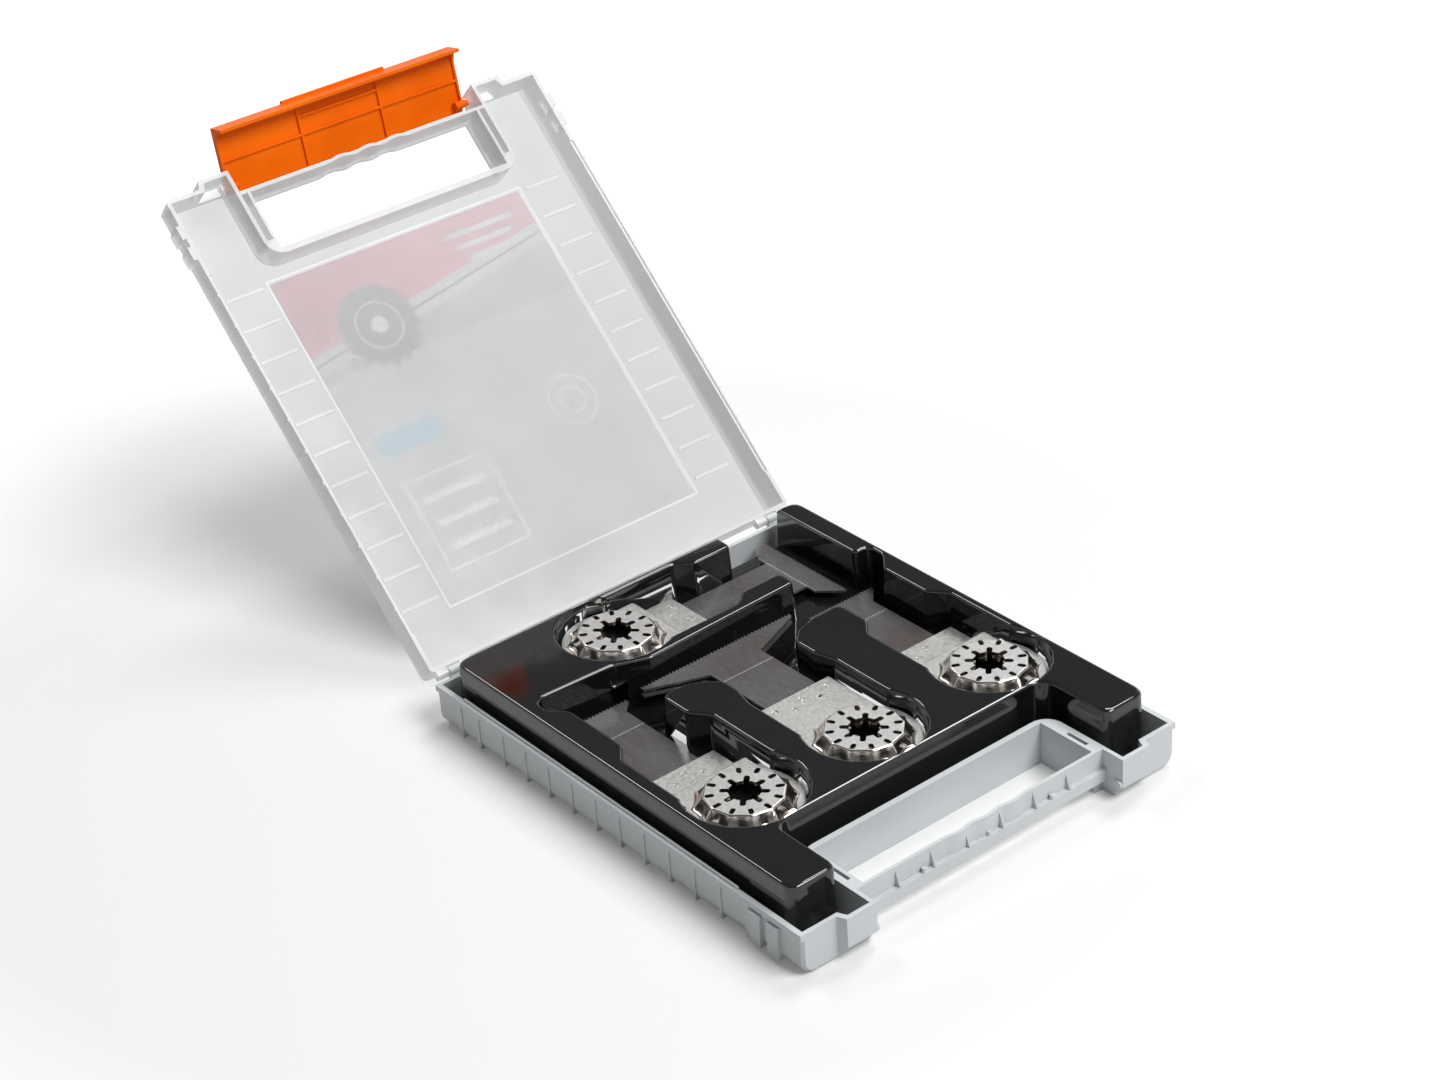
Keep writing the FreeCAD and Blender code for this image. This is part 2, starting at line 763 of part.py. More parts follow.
def latch_ribs(body):
    """Ribs on the inner face."""
    half = "(bay_half_width - latch_end_gap)"
    inside = "-(%s - latch_thickness + overlap)" % NOSE_FACE
    depth = inside + " + latch_rib_depth + overlap"
    top = CASE_TOP + " - latch_top_gap - latch_rib_top_gap"
    low = "latch_foot + latch_lip_thickness - overlap"
    rise = "latch_foot + latch_rib_rise"
    long_rib = box(inside, depth, rise, rise + " + latch_rib_thickness")
    pad(body, "YZ_Plane", "-" + half, "(%s) * 2" % half, (long_rib,))
    rise = "latch_foot + latch_low_rib_rise"
    short_rib = box(inside, depth, rise, rise + " + latch_rib_thickness")
    pad(body, "YZ_Plane", "-latch_rib_pitch / 2", "latch_rib_pitch", (short_rib,))
    cross = box(inside, depth, low, top)
    start = "-(latch_rib_pitch / 2 + latch_rib_thickness / 2)"
    step = pad(body, "YZ_Plane", start, "latch_rib_thickness", (cross,))
    row_of(body, [step], "X_Axis", "latch_rib_pitch", 2)
    cap = ((inside, low), (inside + " + latch_lip_depth / 2", low), (depth, rise), (depth, top),
           (inside, top))
    end = pad(body, "YZ_Plane", "%s - latch_rib_thickness" % half, "latch_rib_thickness",
              (cap,))
    twin(body, [end])


def build_latch():
    """Latch flap, drawn closed."""
    body = new_body("latch_flap")
    latch_plate(body)
    latch_ribs(body)
    half = "(bay_half_width - latch_end_gap)"
    place = (LATCH_LINE, LATCH_HEIGHT)
    boss = pad(body, "YZ_Plane", half + " - latch_boss_length", "latch_boss_length",
               circles=((place, "latch_boss_radius"),))
    pin = pad(body, "YZ_Plane", half + " - overlap", "latch_pin_length + overlap",
              circles=((place, "latch_pin_radius"),))
    twin(body, [boss, pin])
    return body


# Outlines with rounded corners for the formed insert

def step_between(first, second):
    """Unit direction from one corner to the next."""
    return Vector(second[0] - first[0], second[1] - first[1], 0).normalize()


def shifted(points, shift):
    """Move every side of an outline outward; corners are x, y and radius."""
    least = size("tight_radius") / 4
    moved = []
    for index, (across, up, radius) in enumerate(points):
        before = step_between(points[index - 1], points[index])
        after = step_between(points[index], points[(index + 1) % len(points)])
        scale = shift / (1 + before.dot(after))
        turn = before.cross(after).z
        fresh = radius + math.copysign(shift, turn)
        moved.append((across + (before.y + after.y) * scale,
                      up - (before.x + after.x) * scale, max(fresh, least)))
    return moved


def outline_face(spots):
    """Flat face inside an outline."""
    return Part.Face(Part.makePolygon(spots + spots[:1]))


def stacked(rings):
    """Solid with flat sides between outlines that have the same number of corners."""
    faces = [outline_face(rings[0]), outline_face(rings[-1])]
    for low, high in zip(rings, rings[1:]):
        for index in range(len(low)):
            faces.append(outline_face([low[index - 1], low[index], high[index],
                                       high[index - 1]]))
    skin = Part.makeCompound(faces)
    skin.sewShape()
    solid = Part.makeSolid(skin.Shells[0])
    if solid.Volume < 0:
        solid.reverse()
    return solid


FACET_TURN = math.pi / 6


def corner_points(points, index, count):
    """Places round the arc at a corner, for a number of flat facets."""
    across, up, radius = points[index]
    before = step_between(points[index - 1], points[index])
    after = step_between(points[index], points[(index + 1) % len(points)])
    turn = before.getAngle(after)
    spot = Vector(across, up, 0)
    inward = (after - before).normalize()
    centre = spot + inward * (radius / math.cos(turn / 2))
    side = math.copysign(1, before.cross(after).z)
    start = spot - before * (radius * math.tan(turn / 2)) - centre
    spots = []
    for step in range(count + 1):
        angle = math.degrees(side * turn * step / count)
        spots.append(centre + FreeCAD.Rotation(Vector(0, 0, 1), angle).multVec(start))
    return spots


def facet_counts(points):
    """How many facets each corner gets, by its turn; a tight corner gets one."""
    counts = []
    for index, (across, up, radius) in enumerate(points):
        before = step_between(points[index - 1], points[index])
        after = step_between(points[index], points[(index + 1) % len(points)])
        turn = 0 if radius < size("small_radius") else before.getAngle(after)
        counts.append(max(1, round(turn / FACET_TURN)))
    return counts


def ring(points, shift, height):
    """Places round a rounded outline at a height."""
    corners = shifted(points, shift)
    spots = []
    for index, count in enumerate(facet_counts(points)):
        spots += corner_points(corners, index, count)
    return [spot + Vector(0, 0, height) for spot in spots]


WELL_SIDES = 24


def hoop(centre, radius, height):
    """Places round a circle at a height."""
    spots = []
    for count in range(WELL_SIDES):
        turn = math.tau * (count + 1 / 2) / WELL_SIDES
        spots.append(Vector(centre[0] + radius * math.cos(turn),
                            centre[1] + radius * math.sin(turn), height))
    return spots


def draft_at(height):
    """How far a formed wall leans out at a height below the insert's top."""
    return (size("insert_top") - height) * math.tan(math.radians(size("insert_draft")))


ROUND_ANGLES = (0, 45, 90)


def round_levels():
    """Shift and height of each step of a rounded upper edge."""
    radius = size("edge_radius")
    levels = []
    for angle in ROUND_ANGLES:
        turn = math.radians(angle)
        height = size("insert_top") - radius + radius * math.sin(turn)
        levels.append((radius * (1 - math.cos(turn)), height))
    return levels


def well_levels(floor, grow):
    """Shift and height of each ring of a well; a grown well has no rounded edge."""
    top = size("insert_top + overrun")
    if grow:
        floor = floor - grow
        return [(grow - draft_at(floor), floor), (grow - draft_at(top), top)]
    levels = [(-draft_at(floor), floor)]
    levels += [(shift - draft_at(height), height) for shift, height in round_levels()]
    return levels + [(levels[-1][0], top)]


def well(points, floor, grow=0.0):
    """Cutting solid with a rounded outline."""
    rings = [ring(points, shift, height) for shift, height in well_levels(floor, grow)]
    return stacked(rings)


def round_well(centre, radius, floor, grow=0.0):
    """Cutting solid with a round outline."""
    rings = [hoop(centre, radius + shift, height)
             for shift, height in well_levels(floor, grow)]
    return stacked(rings)


# Where the hubs sit, as shares of the insert's half width and half depth
HUB_SHARES = {
    "left": (-0.681, -0.42),
    "centre": (-0.02, -0.42),
    "right": (0.7115, -0.42),
    "rear": (-0.3015, 0.762),
}

# The four arm wells and the channel that joins them, as one outline:
# shares of the insert's half width and half depth, and the name of the corner radius
CHANNEL_SHARES = (
    (-0.924, -0.317, "tight_radius"), (-0.438, -0.317, "tight_radius"),
    (-0.438, 0.025, "corner_radius"), (-0.506, 0.102, "corner_radius"),
    (-0.506, 0.257, "corner_radius"), (-0.350, 0.257, "wide_radius"),
    (-0.233, 0.168, "soft_radius"), (-0.233, 0.081, "wide_radius"),
    (-0.263, -0.022, "wide_radius"), (-0.263, -0.317, "tight_radius"),
    (0.223, -0.317, "tight_radius"), (0.223, -0.022, "wide_radius"),
    (0.193, 0.081, "wide_radius"), (0.193, 0.187, "soft_radius"),
    (0.272, 0.246, "soft_radius"), (0.370, 0.267, "soft_radius"),
    (0.537, 0.267, "corner_radius"), (0.537, 0.102, "corner_radius"),
    (0.468, 0.025, "corner_radius"), (0.468, -0.317, "tight_radius"),
    (0.955, -0.317, "tight_radius"), (0.955, 0.025, "corner_radius"),
    (0.886, 0.102, "corner_radius"), (0.886, 0.345, "soft_radius"),
    (0.968, 0.430, "corner_radius"), (0.968, 0.514, "small_radius"),
    (0.886, 0.514, "small_radius"), (0.886, 1.140, "tight_radius"),
    (0.519, 1.140, "tight_radius"), (0.519, 0.913, "small_radius"),
    (0.304, 0.913, "corner_radius"), (0.217, 0.971, "corner_radius"),
    (-0.180, 0.971, "tight_radius"), (-0.180, 0.553, "tight_radius"),
    (0.214, 0.553, "corner_radius"), (0.294, 0.611, "corner_radius"),
    (0.519, 0.611, "small_radius"), (0.519, 0.516, "small_radius"),
    (-0.344, 0.490, "soft_radius"), (-0.509, 0.552, "soft_radius"),
    (-0.926, 0.569, "soft_radius"), (-0.926, 0.476, "corner_radius"),
    (-0.856, 0.419, "corner_radius"), (-0.856, 0.102, "corner_radius"),
    (-0.924, 0.025, "corner_radius"),
)


def insert_spot(share_x, share_y):
    """Place on the insert from shares of its half width and half depth."""
    middle = size("(%s + %s) / 2" % (INSERT_FRONT, INSERT_BACK))
    reach = size("(%s - (%s)) / 2" % (INSERT_BACK, INSERT_FRONT))
    return share_x * size(INSERT_SIDE), middle + share_y * reach


def hub_spot(name):
    """Centre of a blade's hub."""
    return insert_spot(*HUB_SHARES[name])


def insert_outline():
    """Outline of the insert, with two legs beside the handle bay."""
    side, leg, apron = size(INSERT_SIDE), size("leg_reach"), size("apron_reach")
    front, back = size(INSERT_FRONT), size(INSERT_BACK)
    soft, firm, wide = size("soft_radius"), size("corner_radius"), size("wide_radius")
    return ((-side, front, soft), (-leg, front, firm), (-leg, -apron, wide),
            (leg, -apron, wide), (leg, front, firm), (side, front, soft),
            (side, back, firm), (-side, back, soft))


def hub_floor(name):
    """Height of the floor under a hub."""
    floor = size("hub_top - hub_rise - arm_thickness - seat_gap")
    return floor - (size("stack_pitch") if name in STACKED else 0)


def arm_floor(name):
    """Height of the floor under an arm."""
    floor = hub_floor(name) - size("sheet_thickness")
    return floor - (0 if name in FLAT else size("crank_drop"))


STACKED = ("centre", "right")
FLAT = ("centre",)
TURNED = ("rear",)


def shelf(name, near_reach, far_reach, top):
    """Block that keeps the floor raised along part of a blade."""
    half = size("arm_width / 2 + arm_gap + shelf_margin")
    across, up = hub_spot(name)
    bottom = 0
    if name in TURNED:
        corner = Vector(across + near_reach, up - half, bottom)
        return Part.makeBox(far_reach - near_reach, half * 2, top, corner)
    corner = Vector(across - half, up + near_reach, bottom)
    return Part.makeBox(half * 2, far_reach - near_reach, top, corner)


def shelves(grow):
    """All raised floors, drawn in by the skin for the underside."""
    near_reach = -size("rim_radius")
    reach = size("shelf_reach") - grow
    blocks = [shelf(name, near_reach, reach, hub_floor(name) - grow) for name in HUB_SHARES]
    far = size("step_reach") - grow
    blocks += [shelf(name, near_reach, far, arm_floor(name) - grow)
               for name in HUB_SHARES if name != "right"]
    return blocks


def insert_wells(grow=0.0):
    """Everything cut from the insert's top."""
    points = []
    for share_x, share_y, radius in CHANNEL_SHARES:
        points.append(insert_spot(share_x, share_y) + (size(radius),))
    channel = well(points, arm_floor("right"), grow).cut(shelves(grow))
    radius = size("rim_radius + finger_gap")
    rounds = [round_well(hub_spot(name), radius, hub_floor(name), grow)
              for name in HUB_SHARES]
    return [channel] + rounds


def build_insert():
    """Black formed insert: a thin skin over a block with wells."""
    outline = insert_outline()
    bottom = size("floor_thickness + insert_lift")
    skin = size("insert_skin")
    levels = [(draft_at(height) - shift, height) for shift, height in round_levels()]
    levels = [(draft_at(bottom), bottom)] + levels
    solid = stacked([ring(outline, shift, height) for shift, height in levels])
    under = bottom - size("overlap")
    ceiling = size("insert_top") - skin
    core = [ring(outline, draft_at(height) - skin, height) for height in (under, ceiling)]
    hollow = stacked(core).cut(insert_wells(skin))
    piece = doc.addObject("Part::Feature", "blade_insert")
    piece.Label = "blade_insert"
    piece.Shape = solid.cut(hollow).cut(insert_wells())
    return piece


# Blades

LOBES = 12
STAR_BARS = 4


def lobed(radius, height):
    """Places round the hub's lobed outline at a height."""
    points = []
    for count in range(LOBES * 2):
        reach = radius * (1 - size("scallop_share") * (count % 2))
        turn = math.pi * count / LOBES
        points.append(Vector(reach * math.cos(turn), reach * math.sin(turn), height))
    return points


def lobed_at(height, drop):
    """Hub outline at a height, for a face drawn lower by some drop."""
    share = (height + drop) / size("hub_rise")
    radius = size("rim_radius") + (size("hub_radius") - size("rim_radius")) * share
    return lobed(radius, height)


def hub_solids():
    """Outer form of the hub and the hollow under it."""
    rise, plate, draw = size("hub_rise"), size("arm_thickness"), size("hub_draw")
    outer = [lobed(size("rim_radius"), -plate), lobed_at(0, 0), lobed_at(rise, 0)]
    flange = [hoop((0, 0), size("flange_radius"), height) for height in (-plate, 0)]
    inner = [lobed_at(height, draw) for height in (-plate, rise - plate)]
    return stacked(outer).fuse(stacked(flange)), stacked(inner)


def prism(points, height, depth):
    """Upright prism below a height."""
    spots = [Vector(across, up, height - depth) for across, up in points]
    return outline_face(spots).extrude(Vector(0, 0, depth))


def hub_cuts():
    """Slots round the hub and the star hole in its middle."""
    length, width = size("hub_slot_length") / 2, size("hub_slot_width") / 2
    ring_radius, rise = size("slot_ring_radius"), size("hub_rise")
    slot = ((-length, 0), (-length / 2, -width), (length / 2, -width), (length, 0),
            (length / 2, width), (-length / 2, width))
    place = [(across + ring_radius, up) for across, up in slot]
    deep = size("arm_thickness") * 2
    cuts = []
    for count in range(LOBES):
        cut = prism(place, rise + deep / 2, deep)
        cut.rotate(Vector(), Vector(0, 0, 1), count * 360 / LOBES)
        cuts.append(cut)
    reach, root = size("star_radius"), size("star_tooth_width") / 2
    tip = root / 2
    bar = ((-reach, -tip), (-reach + root, -root), (reach - root, -root), (reach, -tip),
           (reach, tip), (reach - root, root), (-reach + root, root), (-reach, tip))
    for count in range(STAR_BARS):
        cut = prism(bar, rise + deep / 2, deep)
        cut.rotate(Vector(), Vector(0, 0, 1), count * 180 / STAR_BARS)
        cuts.append(cut)
    circle = Part.makeCylinder(size("star_root"), deep, Vector(0, 0, rise - deep / 2))
    return cuts + [circle]


def arm_plate(name):
    """Plate from the hub to the saw sheet, stepped down unless it is flat."""
    drop = 0 if name in FLAT else size("crank_drop")
    start, reach, plate = size("crank_start"), size("arm_reach"), size("arm_thickness")
    half, skew, end = size("arm_width") / 2, size("crank_skew"), size("crank_run")
    if drop:
        points = ((0, 0), (0, -plate), (start - skew, -plate), (start + end - skew, -plate - drop),
                  (reach, -plate - drop), (reach, -drop), (start + end, -drop), (start, 0))
    else:
        points = ((0, 0), (0, -plate), (reach, -plate), (reach, 0))
    spots = [Vector(-half, along, up) for along, up in points]
    return outline_face(spots).extrude(Vector(half * 2, 0, 0))


# Weld marks, as counts of the pitch across and of the step back from the far row
WELDS = ((-2, 0), (-1, 1), (0, 0), (1, 1), (2, 0))


def weld_marks(name):
    """Dimples on the far end of the arm."""
    drop = 0 if name in FLAT else size("crank_drop")
    radius = size("weld_radius")
    marks = []
    for across, back in WELDS:
        spot = (across * size("weld_pitch"), size("weld_reach") - back * size("weld_step"))
        points = []
        for count in range(LOBES // 2):
            turn = math.tau * count / (LOBES // 2)
            points.append((spot[0] + radius * math.cos(turn), spot[1] + radius * math.sin(turn)))
        marks.append(prism(points, size("overlap") - drop, size("weld_depth + overlap")))
    return marks


def blade_placement(name, level):
    """Where a blade lies; level 1 is the lower one of a stack."""
    across, up = hub_spot(name)
    height = size("hub_top - hub_rise") - level * size("stack_pitch")
    turn = -90 if name in TURNED else 0
    return FreeCAD.Placement(Vector(across, up, height),
                             FreeCAD.Rotation(Vector(0, 0, 1), turn))


def build_arm(name, label, level):
    """Hub and arm of a blade."""
    outer, inner = hub_solids()
    shape = outer.fuse(arm_plate(name)).cut([inner] + hub_cuts() + weld_marks(name))
    piece = doc.addObject("Part::Feature", label)
    piece.Label = label
    piece.Shape = shape.removeSplitter()
    piece.Placement = blade_placement(name, level)
    return piece


def build_saw(name, label, level):
    """Saw sheet of a blade, under the far end of its arm."""
    body = new_body(label)
    drop = "0" if name in FLAT else "crank_drop"
    top = "-(arm_thickness + %s)" % drop
    near_end = "arm_reach - sheet_lap"
    neck, flare = name + "_neck", name + "_flare"
    shoulder = name + "_shoulder" if name in TURNED else neck
    edge, reach = name + "_edge", name + "_reach"
    right = [(neck, near_end), (neck, flare), (shoulder, flare),
             (edge, reach + " - flank_height"), (edge, reach)]
    if shoulder == neck:
        right.pop(2)
    outline = tuple(right) + tuple(reversed(flipped(right)))
    pad(body, "XY_Plane", top, "sheet_thickness", (outline,), back=True)
    count = int(size("(%s * 2 - tooth_width) / tooth_pitch" % edge)) + 1
    margin = "((%s * 2 - tooth_width - tooth_pitch * %d) / 2)" % (edge, count - 1)
    first = "-(%s) + %s" % (edge, margin)
    notch = ((first, reach), (first + " + tooth_lean", reach + " - tooth_depth"),
             (first + " + tooth_width", reach), (first + " + tooth_width", reach + " + overlap"),
             (first, reach + " + overlap"))
    cut = pocket(body, "XY_Plane", top + " + overlap", "sheet_thickness + overlap * 2",
                 (notch,))
    row_of(body, [cut], "X_Axis", "tooth_pitch", count)
    body.Placement = blade_placement(name, level)
    return body


def build_blades():
    """Every blade, the stacked ones as an upper and a lower blade."""
    pieces = []
    for name in HUB_SHARES:
        for level in range(2 if name in STACKED else 1):
            tail = ("_lower" if level else "_upper") if name in STACKED else ""
            pieces.append(build_arm(name, "blade_%s%s_arm" % (name, tail), level))
            pieces.append(build_saw(name, "blade_%s%s_saw" % (name, tail), level))
    return pieces


def build_pin(label, side):
    """Steel pin through one hinge."""
    pin = doc.addObject("Part::Cylinder", label)
    pin.Label = label
    pin.setExpression("Radius", words("pin_radius"))
    length = "knuckle_length * 3 + knuckle_gap * 2"
    pin.setExpression("Height", words(length))
    start = size(OUTER_KNUCKLE) if side < 0 else -size("%s + %s" % (OUTER_KNUCKLE, length))
    pin.Placement = FreeCAD.Placement(Vector(start, size(HINGE_LINE), size(HINGE_HEIGHT)),
                                      FreeCAD.Rotation(Vector(0, 1, 0), 90))
    return pin


# Poses of the pieces drawn closed

def turned_about(line, height, angle):
    """Placement that swings a piece about a line along X."""
    centre = Vector(0, size(line), size(height))
    return FreeCAD.Placement(Vector(), FreeCAD.Rotation(Vector(1, 0, 0), -size(angle)), centre)


def main():
    """Build, check and export every sub-part."""
    os.makedirs("parts", exist_ok=True)
    base = build_base()
    lid, card, latch = build_lid(), build_card(), build_latch()
    pieces = [base, lid, card, latch, build_insert()]
    pieces += [build_pin("hinge_pin_left", -1), build_pin("hinge_pin_right", 1)]
    pieces += build_blades()
    open_lid = turned_about(HINGE_LINE, HINGE_HEIGHT, "lid_angle")
    open_latch = turned_about(LATCH_LINE, LATCH_HEIGHT, "latch_angle")
    lid.Placement = open_lid
    latch.Placement = open_lid.multiply(open_latch)
    corner = Vector(-size("card_width") / 2, size("card_shift - card_depth / 2"),
                    size(CASE_TOP + " - recess_depth"))
    card.Placement = open_lid.multiply(FreeCAD.Placement(corner, FreeCAD.Rotation()))
    doc.recompute()
    for item in doc.Objects:
        if "Invalid" in item.State or "Error" in item.State:
            raise ValueError("%s did not build" % item.Label)
    for piece in pieces:
        shape = piece.Shape
        if shape.isNull() or not shape.isValid() or len(shape.Solids) != 1:
            raise ValueError("%s is not one sound solid" % piece.Label)
        shape.exportStep("parts/%s.step" % piece.Label)


main()
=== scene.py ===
import json
import math

import bpy
from mathutils import Matrix, Vector

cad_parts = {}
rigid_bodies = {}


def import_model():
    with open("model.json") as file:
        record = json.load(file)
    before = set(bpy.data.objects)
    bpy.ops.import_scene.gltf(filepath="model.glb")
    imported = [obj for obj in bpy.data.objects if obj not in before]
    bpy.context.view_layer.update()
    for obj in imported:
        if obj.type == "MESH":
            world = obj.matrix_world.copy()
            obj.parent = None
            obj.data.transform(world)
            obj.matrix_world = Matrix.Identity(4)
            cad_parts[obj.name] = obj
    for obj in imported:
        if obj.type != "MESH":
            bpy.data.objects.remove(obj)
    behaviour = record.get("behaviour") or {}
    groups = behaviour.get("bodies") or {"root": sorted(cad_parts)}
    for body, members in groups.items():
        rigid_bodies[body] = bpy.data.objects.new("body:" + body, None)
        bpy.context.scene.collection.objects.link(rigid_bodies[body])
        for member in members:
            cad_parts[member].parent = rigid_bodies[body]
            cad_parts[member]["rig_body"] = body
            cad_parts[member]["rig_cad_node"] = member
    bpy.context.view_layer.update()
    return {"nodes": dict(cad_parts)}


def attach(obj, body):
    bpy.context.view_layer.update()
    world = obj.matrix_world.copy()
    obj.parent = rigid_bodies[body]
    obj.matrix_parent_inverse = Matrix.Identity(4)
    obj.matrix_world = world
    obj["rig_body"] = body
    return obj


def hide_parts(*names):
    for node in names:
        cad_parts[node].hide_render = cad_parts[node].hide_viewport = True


# Saw blade storage case, open on a white table.
# Metres, with the frame's own axes: +X along the hinge, -Y to the carry handle, +Z up.

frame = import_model()
NODES = frame["nodes"]
MM = 0.001


# Finishes

def new_finish(name):
    """Start a finish: its material, node tree, shader and the piece's own coordinates."""
    finish = bpy.data.materials.new(name)
    finish.use_nodes = True
    tree = finish.node_tree
    shader = tree.nodes["Principled BSDF"]
    place = tree.nodes.new("ShaderNodeTexCoord").outputs["Object"]
    return finish, tree, shader, place


def add(tree, kind, inputs=(), **settings):
    """Add a node, set it up and plug in its inputs, given as pairs of input and value."""
    node = tree.nodes.new("ShaderNode" + kind)
    for name, value in settings.items():
        setattr(node, name, value)
    for socket, value in inputs:
        if isinstance(value, bpy.types.NodeSocket):
            tree.links.new(value, node.inputs[socket])
        else:
            node.inputs[socket].default_value = value
    return node


def speckle(tree, place, scale, detail=4.0, stretch=None):
    """Grey noise; a stretch below one draws it out along that axis."""
    if stretch:
        place = add(tree, "Mapping", [("Vector", place), ("Scale", stretch)]).outputs["Vector"]
    noise = add(tree, "TexNoise", [("Vector", place), ("Scale", scale), ("Detail", detail)])
    return noise.outputs["Fac"]


def graded(tree, source, stops):
    """Turn a grey value into colours at given stops."""
    ramp = add(tree, "ValToRGB", [("Fac", source)])
    elements = ramp.color_ramp.elements
    while len(elements) < len(stops):
        elements.new(0.5)
    for element, (spot, colour) in zip(elements, stops):
        element.position = spot
        element.color = (*colour, 1.0) if len(colour) == 3 else colour
    return ramp.outputs["Color"]


def spread(tree, source, low, high):
    """Spread a grey value over a range."""
    node = add(tree, "MapRange", [("Value", source), ("From Min", 0.3), ("From Max", 0.7),
                                  ("To Min", low), ("To Max", high)])
    return node.outputs["Result"]


def relief(tree, shader, height, depth, strength=1.0, under=None):
    """Raise and lower the surface by a grey value, over a relief below it."""
    inputs = [("Height", height), ("Distance", depth), ("Strength", strength)]
    if under:
        inputs.append(("Normal", under))
    bump = add(tree, "Bump", inputs)
    tree.links.new(bump.outputs["Normal"], shader.inputs["Normal"])
    return bump.outputs["Normal"]


def mix_colours(tree, share, first, second):
    """Mix two colours, given as sockets or as red, green and blue, by a grey value."""
    colours = [value if isinstance(value, bpy.types.NodeSocket) else (*value, 1.0)
               for value in (first, second)]
    # a mix node has one set of sockets for each type: 0 is the share, 6 and 7 are the colours
    node = add(tree, "Mix", [(0, share), (6, colours[0]), (7, colours[1])], data_type="RGBA")
    return node.outputs[2]


# Lid, measured in millimetres as it lies shut: across is X, up is Y, through is Z
HINGE = Vector((0.0, 96.9, 17.2))
LID_TURN = 135.9
CARD_MIDDLE, CARD_HALF = (0.0, 8.4), (54.5, 65.8)
CARD_BACK = 28.22
RECESS_HALF = (55.3, 66.6)
PLATE_FACE, BAR_FACE = 27.08, 26.72


def lid_places(tree, place):
    """Places in millimetres across, up and through the lid, as if it lay shut."""
    turn = Matrix.Rotation(math.radians(LID_TURN), 3, "X")
    shift = HINGE - turn @ HINGE
    shut = add(tree, "Mapping", [("Vector", place), ("Location", shift),
                                 ("Rotation", (math.radians(LID_TURN), 0.0, 0.0)),
                                 ("Scale", (1000.0, 1000.0, 1000.0))])
    parts = add(tree, "SeparateXYZ", [("Vector", shut.outputs["Vector"])])
    return parts.outputs["X"], parts.outputs["Y"], parts.outputs["Z"]


def work_out(tree, operation, *values):
    """Sum, difference or other measure of grey values."""
    return add(tree, "Math", list(enumerate(values)), operation=operation).outputs[0]


def from_middle(tree, value, middle):
    """Distance of a value from a middle."""
    return work_out(tree, "ABSOLUTE", work_out(tree, "SUBTRACT", value, middle))


def box_edge(tree, across, up, middle, half):
    """Distance outside a box on the card."""
    side = work_out(tree, "SUBTRACT", from_middle(tree, across, middle[0]), half[0])
    end = work_out(tree, "SUBTRACT", from_middle(tree, up, middle[1]), half[1])
    return work_out(tree, "MAXIMUM", side, end)


def disc_reach(tree, across, up, middle):
    """Distance from a point on the card."""
    first = work_out(tree, "POWER", work_out(tree, "SUBTRACT", across, middle[0]), 2.0)
    second = work_out(tree, "POWER", work_out(tree, "SUBTRACT", up, middle[1]), 2.0)
    return work_out(tree, "SQRT", work_out(tree, "ADD", first, second))


def slanted(tree, across, up, slope, level):
    """Distance past a slanted line on the card."""
    lean = work_out(tree, "MULTIPLY_ADD", across, slope, level)
    return work_out(tree, "SUBTRACT", up, lean)


def outline(tree, edge, width):
    """Distance outside a line of some width along an edge."""
    return work_out(tree, "SUBTRACT", work_out(tree, "ABSOLUTE", edge), width / 2)


def inked(tree, under, edge, ink):
    """Print an ink where the distance is below zero."""
    cover = add(tree, "MapRange", [("Value", edge), ("From Min", 0.08), ("From Max", -0.08)])
    return mix_colours(tree, cover.outputs["Result"], under, ink)


def grey_polypropylene():
    """Satin grey moulding with a fine spark-eroded grain."""
    finish, tree, shader, place = new_finish("grey_polypropylene")
    cloud = speckle(tree, place, 28.0, 3.0)
    colour = graded(tree, cloud, ((0.3, (0.55, 0.575, 0.585)), (0.7, (0.585, 0.61, 0.62))))
    tree.links.new(colour, shader.inputs["Base Color"])
    scuff = speckle(tree, place, 90.0, 6.0, (1.0, 0.25, 1.0))
    tree.links.new(spread(tree, scuff, 0.34, 0.52), shader.inputs["Roughness"])
    grain = speckle(tree, place, 2600.0, 2.0)
    coarse = relief(tree, shader, scuff, 0.00006, 0.25)
    relief(tree, shader, grain, 0.00003, 0.35, coarse)
    return finish


